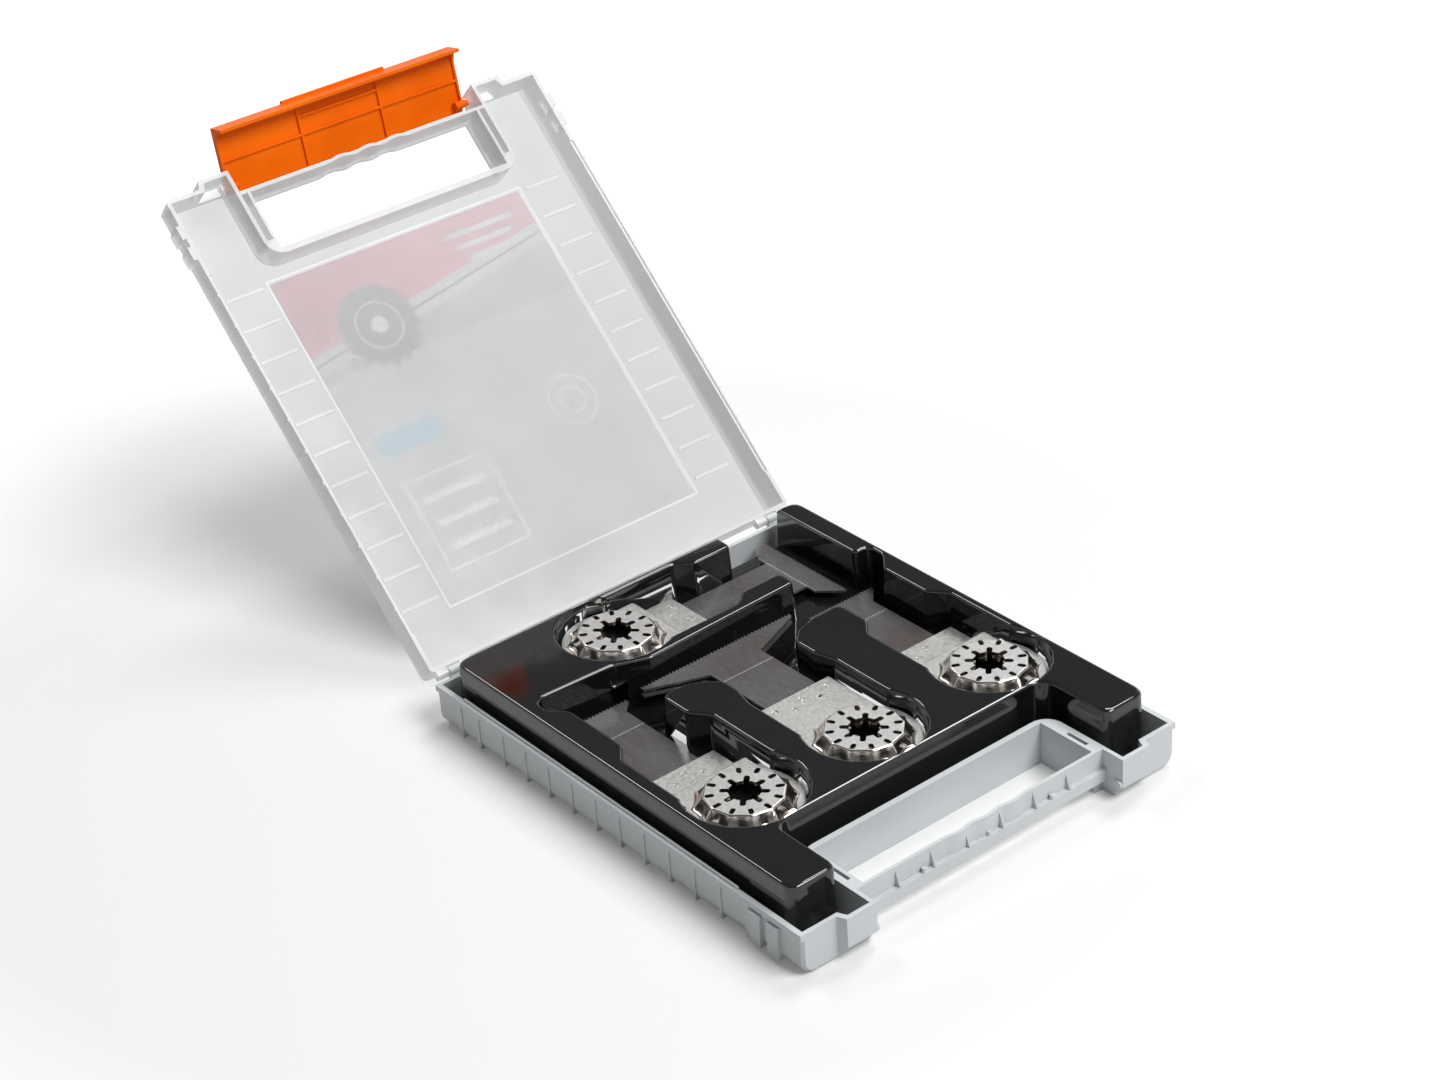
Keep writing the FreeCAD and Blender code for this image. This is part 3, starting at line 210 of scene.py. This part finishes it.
def clear_polypropylene():
    """Milky see-through moulding, thinner over the card, with paler ribs and recess rim."""
    finish, tree, shader, place = new_finish("clear_polypropylene")
    across, up, through = lid_places(tree, place)
    thick = work_out(tree, "GREATER_THAN",
                     box_edge(tree, across, up, CARD_MIDDLE, CARD_HALF), 0.0)
    cloud = speckle(tree, place, 22.0, 3.0)
    wall = graded(tree, cloud, ((0.3, (0.425, 0.432, 0.437)), (0.7, (0.455, 0.462, 0.467))))
    window = graded(tree, cloud, ((0.3, (0.53, 0.536, 0.541)), (0.7, (0.565, 0.571, 0.576))))
    plate = mix_colours(tree, thick, window, wall)
    side = graded(tree, cloud, ((0.3, (0.70, 0.70, 0.705)), (0.7, (0.76, 0.76, 0.765))))
    rim = outline(tree, box_edge(tree, across, up, CARD_MIDDLE, RECESS_HALF), 0.8)
    pale_rim = work_out(tree, "MULTIPLY", work_out(tree, "LESS_THAN", rim, 0.0), 0.55)
    plate = mix_colours(tree, pale_rim, plate, side)
    below = add(tree, "MapRange", [("Value", through), ("From Min", PLATE_FACE),
                                   ("From Max", BAR_FACE)])
    tree.links.new(mix_colours(tree, below.outputs["Result"], plate, side),
                   shader.inputs["Base Color"])
    flow = speckle(tree, place, 60.0, 5.0, (1.0, 0.3, 1.0))
    tree.links.new(spread(tree, flow, 0.32, 0.46), shader.inputs["Roughness"])
    cover = add(tree, "MapRange", [("Value", thick), ("To Min", 0.52), ("To Max", 0.63)])
    tree.links.new(cover.outputs["Result"], shader.inputs["Alpha"])
    grain = speckle(tree, place, 1800.0, 2.0)
    relief(tree, shader, grain, 0.00003, 0.2)
    return finish


def orange_plastic():
    """Satin orange moulding."""
    finish, tree, shader, place = new_finish("orange_plastic")
    cloud = speckle(tree, place, 40.0, 3.0)
    colour = graded(tree, cloud, ((0.3, (0.82, 0.125, 0.0)), (0.7, (0.90, 0.155, 0.001))))
    tree.links.new(colour, shader.inputs["Base Color"])
    tree.links.new(spread(tree, speckle(tree, place, 110.0, 5.0), 0.30, 0.44),
                   shader.inputs["Roughness"])
    shader.inputs["Specular IOR Level"].default_value = 0.08
    grain = speckle(tree, place, 2400.0, 2.0)
    relief(tree, shader, grain, 0.00003, 0.2)
    return finish


def black_sheet():
    """Glossy black formed sheet with faint waviness and handling marks."""
    finish, tree, shader, place = new_finish("black_sheet")
    cloud = speckle(tree, place, 35.0, 4.0)
    colour = graded(tree, cloud, ((0.3, (0.005, 0.0055, 0.006)), (0.7, (0.008, 0.0085, 0.009))))
    tree.links.new(colour, shader.inputs["Base Color"])
    marks = speckle(tree, place, 140.0, 8.0, (1.0, 0.35, 1.0))
    tree.links.new(spread(tree, marks, 0.05, 0.11), shader.inputs["Roughness"])
    shader.inputs["IOR"].default_value = 1.7
    wave = speckle(tree, place, 55.0, 2.0)
    slow = relief(tree, shader, wave, 0.0002, 0.1)
    relief(tree, shader, marks, 0.00002, 0.15, slow)
    return finish


def blasted_steel():
    """Pale blasted steel with a mottled grain."""
    finish, tree, shader, place = new_finish("blasted_steel")
    mottle = speckle(tree, place, 900.0, 6.0)
    colour = graded(tree, mottle, ((0.25, (0.44, 0.435, 0.415)), (0.75, (0.66, 0.655, 0.64))))
    tree.links.new(colour, shader.inputs["Base Color"])
    shader.inputs["Metallic"].default_value = 1.0
    tree.links.new(spread(tree, mottle, 0.44, 0.58), shader.inputs["Roughness"])
    relief(tree, shader, speckle(tree, place, 2200.0, 4.0), 0.00003, 0.25)
    return finish


def satin_steel():
    """Bright satin face of the hubs."""
    finish, tree, shader, place = new_finish("satin_steel")
    mottle = speckle(tree, place, 1100.0, 5.0)
    colour = graded(tree, mottle, ((0.25, (0.58, 0.575, 0.56)), (0.75, (0.72, 0.72, 0.71))))
    tree.links.new(colour, shader.inputs["Base Color"])
    shader.inputs["Metallic"].default_value = 1.0
    tree.links.new(spread(tree, mottle, 0.38, 0.50), shader.inputs["Roughness"])
    relief(tree, shader, speckle(tree, place, 2600.0, 3.0), 0.00002, 0.35)
    return finish


def polished_steel():
    """Bright drawn steel with a warm tint."""
    finish, tree, shader, place = new_finish("polished_steel")
    tint = speckle(tree, place, 160.0, 4.0)
    colour = graded(tree, tint, ((0.3, (0.56, 0.50, 0.43)), (0.7, (0.72, 0.70, 0.66))))
    tree.links.new(colour, shader.inputs["Base Color"])
    shader.inputs["Metallic"].default_value = 1.0
    tree.links.new(spread(tree, speckle(tree, place, 500.0, 5.0), 0.10, 0.22),
                   shader.inputs["Roughness"])
    relief(tree, shader, tint, 0.00012, 0.3)
    return finish


def punched_steel():
    """Brown heat-tinted steel of the punched edges."""
    finish, tree, shader, place = new_finish("punched_steel")
    streak = speckle(tree, place, 700.0, 5.0, (1.0, 1.0, 0.3))
    colour = graded(tree, streak, ((0.3, (0.16, 0.11, 0.075)), (0.7, (0.36, 0.28, 0.20))))
    tree.links.new(colour, shader.inputs["Base Color"])
    shader.inputs["Metallic"].default_value = 1.0
    tree.links.new(spread(tree, streak, 0.25, 0.45), shader.inputs["Roughness"])
    relief(tree, shader, streak, 0.00005, 0.5)
    return finish


def saw_sheet(name, axis, level):
    """Dark coated spring steel with a brown-violet bloom and a painted highlight line where the
    saw steps.
    """
    finish, tree, shader, place = new_finish(name)
    bloom = speckle(tree, place, 32.0, 3.0)
    colour = graded(tree, bloom, ((0.34, (0.19, 0.195, 0.205)), (0.54, (0.17, 0.168, 0.172)),
                                  (0.70, (0.16, 0.132, 0.13))))
    parts = add(tree, "SeparateXYZ", [("Vector", place)])
    # painted highlight: a pale line across the saw where it steps, not bare metal
    line = work_out(tree, "LESS_THAN", from_middle(tree, parts.outputs[axis], level * MM),
                    0.14 * MM)
    colour = mix_colours(tree, line, colour, (0.75, 0.74, 0.72))
    tree.links.new(colour, shader.inputs["Base Color"])
    shader.inputs["Metallic"].default_value = 0.55
    lines = speckle(tree, place, 900.0, 4.0, (1.0, 0.2, 1.0))
    tree.links.new(spread(tree, lines, 0.18, 0.32), shader.inputs["Roughness"])
    relief(tree, shader, lines, 0.00001, 0.12)
    return finish


def pin_steel():
    """Drawn wire of the hinge pins."""
    finish, tree, shader, place = new_finish("pin_steel")
    lines = speckle(tree, place, 1500.0, 4.0, (0.05, 1.0, 1.0))
    colour = graded(tree, lines, ((0.3, (0.48, 0.47, 0.46)), (0.7, (0.66, 0.65, 0.64))))
    tree.links.new(colour, shader.inputs["Base Color"])
    shader.inputs["Metallic"].default_value = 1.0
    tree.links.new(spread(tree, lines, 0.2, 0.34), shader.inputs["Roughness"])
    relief(tree, shader, lines, 0.00002, 0.4)
    return finish


def toothed_disc(tree, across, up, middle, radius, teeth, depth):
    """Distance outside a disc with slanted teeth."""
    reach = disc_reach(tree, across, up, middle)
    angle = work_out(tree, "ARCTAN2", work_out(tree, "SUBTRACT", up, middle[1]),
                     work_out(tree, "SUBTRACT", across, middle[0]))
    share = work_out(tree, "FRACT", work_out(tree, "MULTIPLY", angle, teeth / math.tau))
    return work_out(tree, "SUBTRACT", reach,
                    work_out(tree, "MULTIPLY_ADD", share, depth, radius))


def card_artwork(tree, across, up):
    """Colour fields, a toothed disc, bars and a framed row of teeth."""
    coral, slate, white = (0.90, 0.08, 0.24), (0.045, 0.05, 0.06), (0.90, 0.90, 0.89)
    grey, pale, cyan = (0.50, 0.505, 0.515), (0.76, 0.76, 0.75), (0.01, 0.42, 0.62)
    slope, hub, rings = -0.16, (-24.0, -29.0), (30.0, 24.0)
    art = inked(tree, grey, slanted(tree, across, up, slope, -27.0), pale)
    art = inked(tree, art, slanted(tree, across, up, slope, -35.0), coral)
    art = inked(tree, art, outline(tree, slanted(tree, across, up, slope, -31.2), 0.9), slate)
    disc = toothed_disc(tree, across, up, hub, radius=14.5, teeth=18, depth=2.2)
    art = inked(tree, art, disc, slate)
    reach = disc_reach(tree, across, up, hub)
    art = inked(tree, art, outline(tree, work_out(tree, "SUBTRACT", reach, 9.0), 0.8), pale)
    art = inked(tree, art, work_out(tree, "SUBTRACT", reach, 3.4), white)
    for number in range(3):
        bar = box_edge(tree, across, up, (32.0, -50.0 + number * 5.0), (15.0 - number * 3, 1.1))
        art = inked(tree, art, bar, white)
    art = inked(tree, art, box_edge(tree, across, up, (-36.0, 13.0), (13.0, 4.2)), cyan)
    frame_edge = box_edge(tree, across, up, (-30.0, 46.0), (17.0, 17.5))
    art = inked(tree, art, outline(tree, frame_edge, 0.8), white)
    saw = work_out(tree, "FRACT", work_out(tree, "MULTIPLY", across, 1 / 3.2))
    for number in range(3):
        level = 36.5 + number * 9.5
        top = work_out(tree, "MULTIPLY_ADD", saw, -2.2, level)
        row = work_out(tree, "MAXIMUM", work_out(tree, "SUBTRACT", top, up),
                       work_out(tree, "SUBTRACT", up, level + 1.6))
        row = work_out(tree, "MAXIMUM", row,
                       box_edge(tree, across, up, (-30.0, level), (12.8, 6.0)))
        art = inked(tree, art, row, white)
    for number in range(2):
        ring_edge = work_out(tree, "SUBTRACT", disc_reach(tree, across, up, rings),
                             9.5 - number * 4.5)
        art = inked(tree, art, outline(tree, ring_edge, 0.7), white)
    return art


def printed_card():
    """Card printed on its outer face; the print shows paler on its back."""
    finish, tree, shader, place = new_finish("printed_card")
    across, up, through = lid_places(tree, place)
    art = card_artwork(tree, across, up)
    back = work_out(tree, "LESS_THAN", through, CARD_BACK)
    faint = work_out(tree, "MULTIPLY", back, 0.24)
    art = mix_colours(tree, faint, art, (0.97, 0.97, 0.97))
    fibre = speckle(tree, place, 1200.0, 4.0)
    art = mix_colours(tree, spread(tree, fibre, 0.0, 0.08), art, (0.80, 0.79, 0.78))
    tree.links.new(art, shader.inputs["Base Color"])
    tree.links.new(spread(tree, fibre, 0.34, 0.46), shader.inputs["Roughness"])
    relief(tree, shader, fibre, 0.00002, 0.2)
    return finish


# Shaping

def alone(piece):
    """Make a piece the only selected one."""
    bpy.ops.object.select_all(action="DESELECT")
    piece.select_set(True)
    bpy.context.view_layer.objects.active = piece


def settle(piece):
    """Apply a piece's modifiers and its place."""
    alone(piece)
    for modifier in list(piece.modifiers):
        bpy.ops.object.modifier_apply(modifier=modifier.name)
    bpy.ops.object.transform_apply(location=True, rotation=True, scale=True)


def soften(piece, width, limit=32.0, smooth=40.0, weight=100):
    """Round the edges sharper than a limit; with no width, only shade them round."""
    if width:
        modifier = piece.modifiers.new("soft_edges", "BEVEL")
        modifier.width = width
        modifier.segments = 2
        modifier.limit_method = "ANGLE"
        modifier.angle_limit = math.radians(limit)
    settle(piece)
    bpy.ops.object.shade_smooth_by_angle(angle=math.radians(smooth))
    even = piece.modifiers.new("even_faces", "WEIGHTED_NORMAL")
    even.keep_sharp = True
    even.weight = weight
    bpy.ops.object.modifier_apply(modifier=even.name)


def moulded(node, name, finish, slot, width, **more):
    """Copy a node, merge its faces, round its edges and put the copy in its place."""
    alone(NODES[node])
    bpy.ops.object.duplicate()
    piece = bpy.context.view_layer.objects.active
    piece.name = name
    body = piece["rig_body"]
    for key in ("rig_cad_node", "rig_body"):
        del piece[key]
    piece.parent = None
    bpy.ops.object.mode_set(mode="EDIT")
    bpy.ops.mesh.select_all(action="SELECT")
    bpy.ops.mesh.remove_doubles(threshold=0.000002)
    bpy.ops.mesh.dissolve_limited(angle_limit=math.radians(0.5))
    bpy.ops.object.mode_set(mode="OBJECT")
    piece.data.materials.clear()
    piece.data.materials.append(finish)
    soften(piece, width, **more)
    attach(piece, body)
    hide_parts(node)
    return piece


# Blades, each drawn about its hub: +Y along the arm, z = 0 on the arm's upper face

RIDGES = 12
RIDGE_STEPS = 8
HUB_SECTION = (
    # radius, height and how far the scoops bite in, from the upper face down to the flange
    (12.75, 4.20, 0.50), (13.15, 4.13, 0.52), (13.50, 3.92, 0.56), (13.74, 3.62, 0.62),
    (13.90, 3.30, 0.72), (14.85, 2.10, 1.05), (15.80, 0.95, 1.35), (16.35, 0.42, 1.45),
    (16.90, 0.12, 1.40), (17.50, 0.00, 1.25), (18.80, 0.00, 0.0), (19.00, -0.20, 0.0),
    (19.00, -1.00, 0.0), (18.80, -1.20, 0.0), (15.20, -1.20, 0.0), (14.90, -0.90, 0.0),
    (12.40, 2.60, 0.0), (12.10, 3.00, 0.0))
CRANK = 5.4
BLADES = {
    # name: hub's place across and up, place in the stack, drop of the far end, quarter turn
    "blade_left": ((-51.5, -35.8), 0, CRANK, False),
    "blade_centre_lower": ((-1.5, -35.8), 1, 0.0, False),
    "blade_centre_upper": ((-1.5, -35.8), 0, 0.0, False),
    "blade_right_lower": ((53.8, -35.8), 1, CRANK, False),
    "blade_right_upper": ((53.8, -35.8), 0, CRANK, False),
    "blade_rear": ((-22.8, 67.5), 0, CRANK, True),
}
HUB_LEVEL = 20.2
HUB_REACH, TOP_REACH, TOP_LEVEL = 17.3, 13.0, 4.19
CORE_RADIUS = 17.2
# where the painted highlight line of the saw's step crosses each saw
STEP_HIGHLIGHT_LINES = {"blade_left": 29.6, "blade_centre_lower": 23.2, "blade_centre_upper": 23.2,
         "blade_right_lower": 25.1, "blade_right_upper": 25.1, "blade_rear": 53.0}
STACK_PITCH = 2.3


def active():
    """Piece at work."""
    return bpy.context.view_layer.objects.active


def start_piece(name, add_shape, **settings):
    """Add a primitive by itself and name it."""
    if bpy.context.object and bpy.context.object.mode != "OBJECT":
        bpy.ops.object.mode_set(mode="OBJECT")
    bpy.ops.object.select_all(action="DESELECT")
    add_shape(**settings)
    active().name = name
    return active()


def mark_spots(piece, test):
    """Select the vertices that pass a test on their place."""
    bpy.ops.object.mode_set(mode="OBJECT")
    for face in piece.data.polygons:
        face.select = False
    for edge in piece.data.edges:
        edge.select = False
    for spot in piece.data.vertices:
        spot.select = bool(test(spot.co / MM))
    bpy.ops.object.mode_set(mode="EDIT")
    bpy.ops.mesh.select_mode(type="VERT")


def all_spots():
    """Open the piece at work for shaping, all of it selected."""
    bpy.ops.object.mode_set(mode="EDIT")
    bpy.ops.mesh.select_all(action="SELECT")


def carve(piece, cutter, how="DIFFERENCE"):
    """Cut a piece with another, or join the two, and drop the other."""
    bpy.ops.object.mode_set(mode="OBJECT")
    alone(piece)
    modifier = piece.modifiers.new("cut", "BOOLEAN")
    modifier.operation = how
    modifier.object = cutter
    modifier.solver = "EXACT"
    bpy.ops.object.modifier_apply(modifier=modifier.name)
    bpy.data.meshes.remove(cutter.data)


def ridge_step(spot):
    """How many steps a place lies from the nearest ridge."""
    turn = math.degrees(math.atan2(spot.y, spot.x)) * RIDGES * RIDGE_STEPS / 360
    step = round(turn) % RIDGE_STEPS
    return min(step, RIDGE_STEPS - step)


def hub_shell():
    """Hub drawn as rings of its section, then scooped between the ridges."""
    sides = RIDGES * RIDGE_STEPS
    first = HUB_SECTION[0]
    hub = start_piece("hub", bpy.ops.mesh.primitive_circle_add, vertices=sides,
                      radius=first[0] * MM, fill_type="NOTHING",
                      location=(0.0, 0.0, first[1] * MM), rotation=(0.0, 0.0, math.pi / 2))
    bpy.ops.object.transform_apply(location=True, rotation=True, scale=True)
    all_spots()
    for before, after in zip(HUB_SECTION, HUB_SECTION[1:]):
        bpy.ops.mesh.extrude_edges_move(
            TRANSFORM_OT_translate={"value": (0.0, 0.0, (after[1] - before[1]) * MM)})
        grow = after[0] / before[0]
        bpy.ops.transform.resize(value=(grow, grow, 1.0), center_override=(0.0, 0.0, 0.0))
    bpy.ops.mesh.edge_face_add()
    mark_spots(hub, lambda spot: spot.z > first[1] - 0.01)
    bpy.ops.mesh.edge_face_add()
    for radius, height, bite in HUB_SECTION:
        for step in range(1, RIDGE_STEPS // 2 + 1):
            if not bite:
                continue
            share = step * 2 / RIDGE_STEPS
            shrink = 1 - bite / radius * (1 - (1 - share) ** 2)
            mark_spots(hub, lambda spot: abs(spot.z - height) < 0.01
                       and abs(spot.xy.length - radius) < 0.02 and ridge_step(spot) == step)
            bpy.ops.transform.resize(value=(shrink, shrink, 1.0),
                                     center_override=(0.0, 0.0, 0.0))
    bpy.ops.mesh.select_all(action="SELECT")
    bpy.ops.mesh.normals_make_consistent(inside=False)
    bpy.ops.object.mode_set(mode="OBJECT")
    return hub


def capsule(name, reach, half_width, low, high, sides=24):
    """Upright prism with round ends between two radii on +X."""
    start, end = reach
    piece = start_piece(name, bpy.ops.mesh.primitive_cylinder_add, vertices=sides,
                        radius=half_width * MM, depth=(high - low) * MM,
                        location=((start + half_width) * MM, 0.0, (low + high) / 2 * MM))
    bpy.ops.object.transform_apply(location=True, rotation=True, scale=True)
    mark_spots(piece, lambda spot: spot.x > start + half_width + 0.001)
    bpy.ops.transform.translate(value=((end - start - half_width * 2) * MM, 0.0, 0.0))
    bpy.ops.object.mode_set(mode="OBJECT")
    return piece


def repeat_round(piece, count, span=math.tau):
    """Copy a piece round the hub's axis and join the copies."""
    alone(piece)
    mesh = piece.data.copy()
    copies = [piece]
    for number in range(1, count):
        copy = bpy.data.objects.new(piece.name + "_copy", mesh.copy())
        copy.data.transform(Matrix.Rotation(span * number / count, 4, "Z"))
        bpy.context.scene.collection.objects.link(copy)
        copies.append(copy)
    bpy.data.meshes.remove(mesh)
    for copy in copies:
        copy.select_set(True)
    bpy.ops.object.join()
    return piece


def hub_openings(hub):
    """Star hole in the middle and slots near the ridges."""
    slots = capsule("slots", (9.75, 12.85), 0.87, 2.0, 5.0)
    carve(hub, repeat_round(slots, RIDGES))
    middle = start_piece("middle", bpy.ops.mesh.primitive_cylinder_add, vertices=48,
                         radius=5.35 * MM, depth=4.0 * MM, location=(0.0, 0.0, 4.0 * MM))
    for number in range(4):
        bar = capsule("bar", (-8.15, 8.15), 1.02, 2.0 + 0.01 * number, 5.0)
        bar.data.transform(Matrix.Rotation(math.pi * number / 4, 4, "Z"))
        carve(middle, bar, "UNION")
    carve(hub, middle)


def arm_plate(drop):
    """Flat plate beside the hub, stepped down where it has a drop."""
    start, bend, run, reach, half, thick = 8.0, 19.2, 3.4, 35.4, 15.4, 1.2
    skew, bend_radius = 0.5, 0.8
    first = bend if drop else reach
    plate = start_piece("plate", bpy.ops.mesh.primitive_cube_add, size=MM,
                        location=(0.0, (start + first) / 2 * MM, -thick / 2 * MM),
                        scale=(half * 2, first - start, thick))
    bpy.ops.object.transform_apply(location=True, rotation=True, scale=True)
    if drop:
        mark_spots(plate, lambda spot: spot.y > first - 0.01)
        for move in ((0.0, run, -drop), (0.0, reach - bend - run, 0.0)):
            bpy.ops.mesh.extrude_region_move(
                TRANSFORM_OT_translate={"value": [step * MM for step in move]})
        mark_spots(plate, lambda spot: bend - 0.1 < spot.y < bend + run + 0.1
                   and (spot.z < -drop - 0.1 or -thick - 0.1 < spot.z < -0.1))
        bpy.ops.transform.translate(value=(0.0, -skew * MM, 0.0))
        mark_spots(plate, lambda spot: bend - 1.0 < spot.y < bend + run + 0.1)
        bpy.ops.mesh.bevel(offset=bend_radius * MM, segments=4, affect="EDGES")
    bpy.ops.object.mode_set(mode="OBJECT")
    core = start_piece("core", bpy.ops.mesh.primitive_cylinder_add, vertices=96,
                       radius=CORE_RADIUS * MM, depth=6.0 * MM)
    carve(plate, core)
    return plate


def weld_marks(drop):
    """Ring grooves of the spot welds, in a zigzag across the arm."""
    pitch, far, step = 5.65, 31.7, 3.2
    rings = []
    for across, back in ((-2, 0), (-1, 1), (0, 0), (1, 1), (2, 0)):
        ring = start_piece("weld", bpy.ops.mesh.primitive_torus_add, major_radius=0.85 * MM,
                           minor_radius=0.30 * MM, major_segments=24, minor_segments=8,
                           location=(across * pitch * MM, (far - back * step) * MM,
                                     -drop * MM))
        bpy.ops.object.transform_apply(location=True, rotation=True, scale=True)
        rings.append(ring)
    for ring in rings:
        ring.select_set(True)
    bpy.ops.object.join()
    return active()


def finish_arm(arm, finishes):
    """Give each face of an arm its finish: plate, hub's top, hub's flank or punched edge."""
    for finish in finishes:
        arm.data.materials.append(finish)
    for face in arm.data.polygons:
        place = face.center / MM
        reach = place.xy.length
        kind = 0
        if reach < HUB_REACH and place.z > 0.02:
            kind = 2
            if face.normal.z > 0.9 and reach < TOP_REACH:
                kind = 1
        if reach < TOP_REACH and -1.1 < place.z < TOP_LEVEL and face.normal.z < 0.8:
            kind = 3
        face.material_index = kind


def blade_arm(name, drop, finishes):
    """Hub with its arm."""
    arm = hub_shell()
    carve(arm, arm_plate(drop), "UNION")
    hub_openings(arm)
    carve(arm, weld_marks(drop))
    arm.name = name
    finish_arm(arm, finishes)
    soften(arm, 0.09 * MM, limit=38.0, smooth=35.0)
    return arm


def place_blades(steel_finishes):
    """Copy the two arms to the six blades and finish their saws."""
    patterns = {drop: blade_arm("arm_pattern", drop, steel_finishes) for drop in (0.0, CRANK)}
    for name, (spot, level, drop, turned) in BLADES.items():
        mesh = patterns[drop].data.copy()
        if turned:
            mesh.transform(Matrix.Rotation(-math.pi / 2, 4, "Z"))
        height = HUB_LEVEL - level * STACK_PITCH
        mesh.transform(Matrix.Translation(Vector((*spot, height)) * MM))
        arm = bpy.data.objects.new(name + "_hub_and_arm", mesh)
        bpy.context.scene.collection.objects.link(arm)
        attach(arm, name)
        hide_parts(name + "_arm")
        axis = "X" if turned else "Y"
        sheet = NODES[name + "_saw"]
        sheet.data.materials.clear()
        sheet.data.materials.append(saw_sheet(name + "_sheet", axis, STEP_HIGHLIGHT_LINES[name]))
    for pattern in patterns.values():
        bpy.data.meshes.remove(pattern.data)


# Stage

def white_table():
    """White floor that carries the shadow and grows whiter away from the case."""
    bpy.ops.object.select_all(action="DESELECT")
    bpy.ops.mesh.primitive_plane_add(size=8.0, location=(0.0, 0.0, 0.0))
    table = bpy.context.view_layer.objects.active
    table.name = "table"
    finish = bpy.data.materials.new("white_table")
    finish.use_nodes = True
    tree = finish.node_tree
    tree.nodes.clear()
    path = tree.nodes.new("ShaderNodeLightPath")
    paint = add(tree, "BsdfDiffuse", [("Color", (0.69, 0.69, 0.69, 1.0))])
    place = tree.nodes.new("ShaderNodeTexCoord").outputs["Object"]
    away = add(tree, "VectorMath", [(0, place), (1, (-0.03, 0.08, 0.0))], operation="DISTANCE")
    lift = add(tree, "MapRange", [("Value", away.outputs["Value"]), ("From Min", 0.22),
                                  ("From Max", 0.4), ("To Min", 0.12), ("To Max", 0.48)])
    glow = add(tree, "Emission", [("Color", (1.0, 1.0, 1.0, 1.0)),
                                  ("Strength", lift.outputs["Result"])])
    none = add(tree, "Emission", [("Strength", 0.0)])
    seen = add(tree, "MixShader", [(0, path.outputs["Is Camera Ray"]), (1, none.outputs[0]),
                                   (2, glow.outputs[0])])
    both = add(tree, "AddShader", [(0, paint.outputs[0]), (1, seen.outputs[0])])
    out = add(tree, "OutputMaterial")
    tree.links.new(both.outputs[0], out.inputs["Surface"])
    table.data.materials.append(finish)


def soft_light(name, spot, target, size, power):
    """Square lamp pointed at a target."""
    bpy.ops.object.light_add(type="AREA", location=spot)
    lamp = bpy.context.view_layer.objects.active
    lamp.name = name
    lamp.data.size = size
    lamp.data.energy = power
    lamp.rotation_euler = (Vector(target) - Vector(spot)).to_track_quat("-Z", "Y").to_euler()


def studio():
    """White surroundings near the table, a dim ceiling and soft lamps."""
    world = bpy.data.worlds.new("studio")
    bpy.context.scene.world = world
    world.use_nodes = True
    tree = world.node_tree
    tree.nodes.clear()
    path = tree.nodes.new("ShaderNodeLightPath")
    first = add(tree, "Math", [(0, path.outputs["Is Camera Ray"]),
                               (1, path.outputs["Is Glossy Ray"])], operation="MAXIMUM")
    second = add(tree, "Math", [(0, first.outputs[0]), (1, path.outputs["Is Transmission Ray"])],
                 operation="MAXIMUM")
    heading = add(tree, "SeparateXYZ", [("Vector", tree.nodes.new("ShaderNodeTexCoord")
                                         .outputs["Generated"])])
    room = graded(tree, heading.outputs["Z"], ((0.0, (1.0, 1.0, 1.0)), (0.32, (1.0, 1.0, 1.0)),
                                               (0.41, (0.16, 0.16, 0.165)),
                                               (0.9, (0.16, 0.16, 0.165))))
    dim = add(tree, "Background", [("Color", (1.0, 1.0, 1.0, 1.0)), ("Strength", 0.15)])
    white = add(tree, "Background", [("Color", room), ("Strength", 1.0)])
    mixed = add(tree, "MixShader", [(0, second.outputs[0]), (1, dim.outputs[0]),
                                    (2, white.outputs[0])])
    out = add(tree, "OutputWorld")
    tree.links.new(mixed.outputs[0], out.inputs["Surface"])
    middle = (0.0, 0.05, 0.05)
    soft_light("key", (0.70, -1.39, 2.10), middle, 1.3, 64.0)
    soft_light("right", (1.33, 0.53, 2.00), middle, 0.7, 19.0)
    soft_light("rear", (-0.06, 1.68, 1.85), middle, 0.55, 10.0)


def viewpoint():
    """Camera at the photograph's place."""
    bpy.ops.object.camera_add(location=(-0.52463, -0.656175, 0.578062))
    camera = bpy.context.view_layer.objects.active
    camera.name = "camera"
    camera.rotation_euler = [math.radians(turn) for turn in (59.29407, 3.66514, -39.36456)]
    camera.data.sensor_width = 36.0
    camera.data.lens = 76.16
    camera.data.clip_start = 0.01
    camera.data.clip_end = 50.0
    bpy.context.scene.camera = camera


def main():
    grey = grey_polypropylene()
    clear = clear_polypropylene()
    pin = pin_steel()
    moulded("base_tray", "grey_base", grey, "grey_plastic", 0.25 * MM)
    lid = moulded("lid_shell", "clear_lid", clear, "clear_plastic", 0.25 * MM)
    lid.visible_shadow = False
    moulded("latch_flap", "orange_latch", orange_plastic(), "orange_plastic", 0.2 * MM)
    moulded("blade_insert", "black_tray", black_sheet(), "black_plastic", 0.0,
            smooth=60.0, weight=50)
    NODES["lid_label"].data.materials.clear()
    NODES["lid_label"].data.materials.append(printed_card())
    place_blades((blasted_steel(), satin_steel(), polished_steel(), punched_steel()))
    for name in ("hinge_pin_left", "hinge_pin_right"):
        NODES[name].data.materials.clear()
        NODES[name].data.materials.append(pin)
    white_table()
    studio()
    viewpoint()


main()

scene = bpy.context.scene
scene.view_settings.view_transform = "Standard"
bpy.context.view_layer.update()
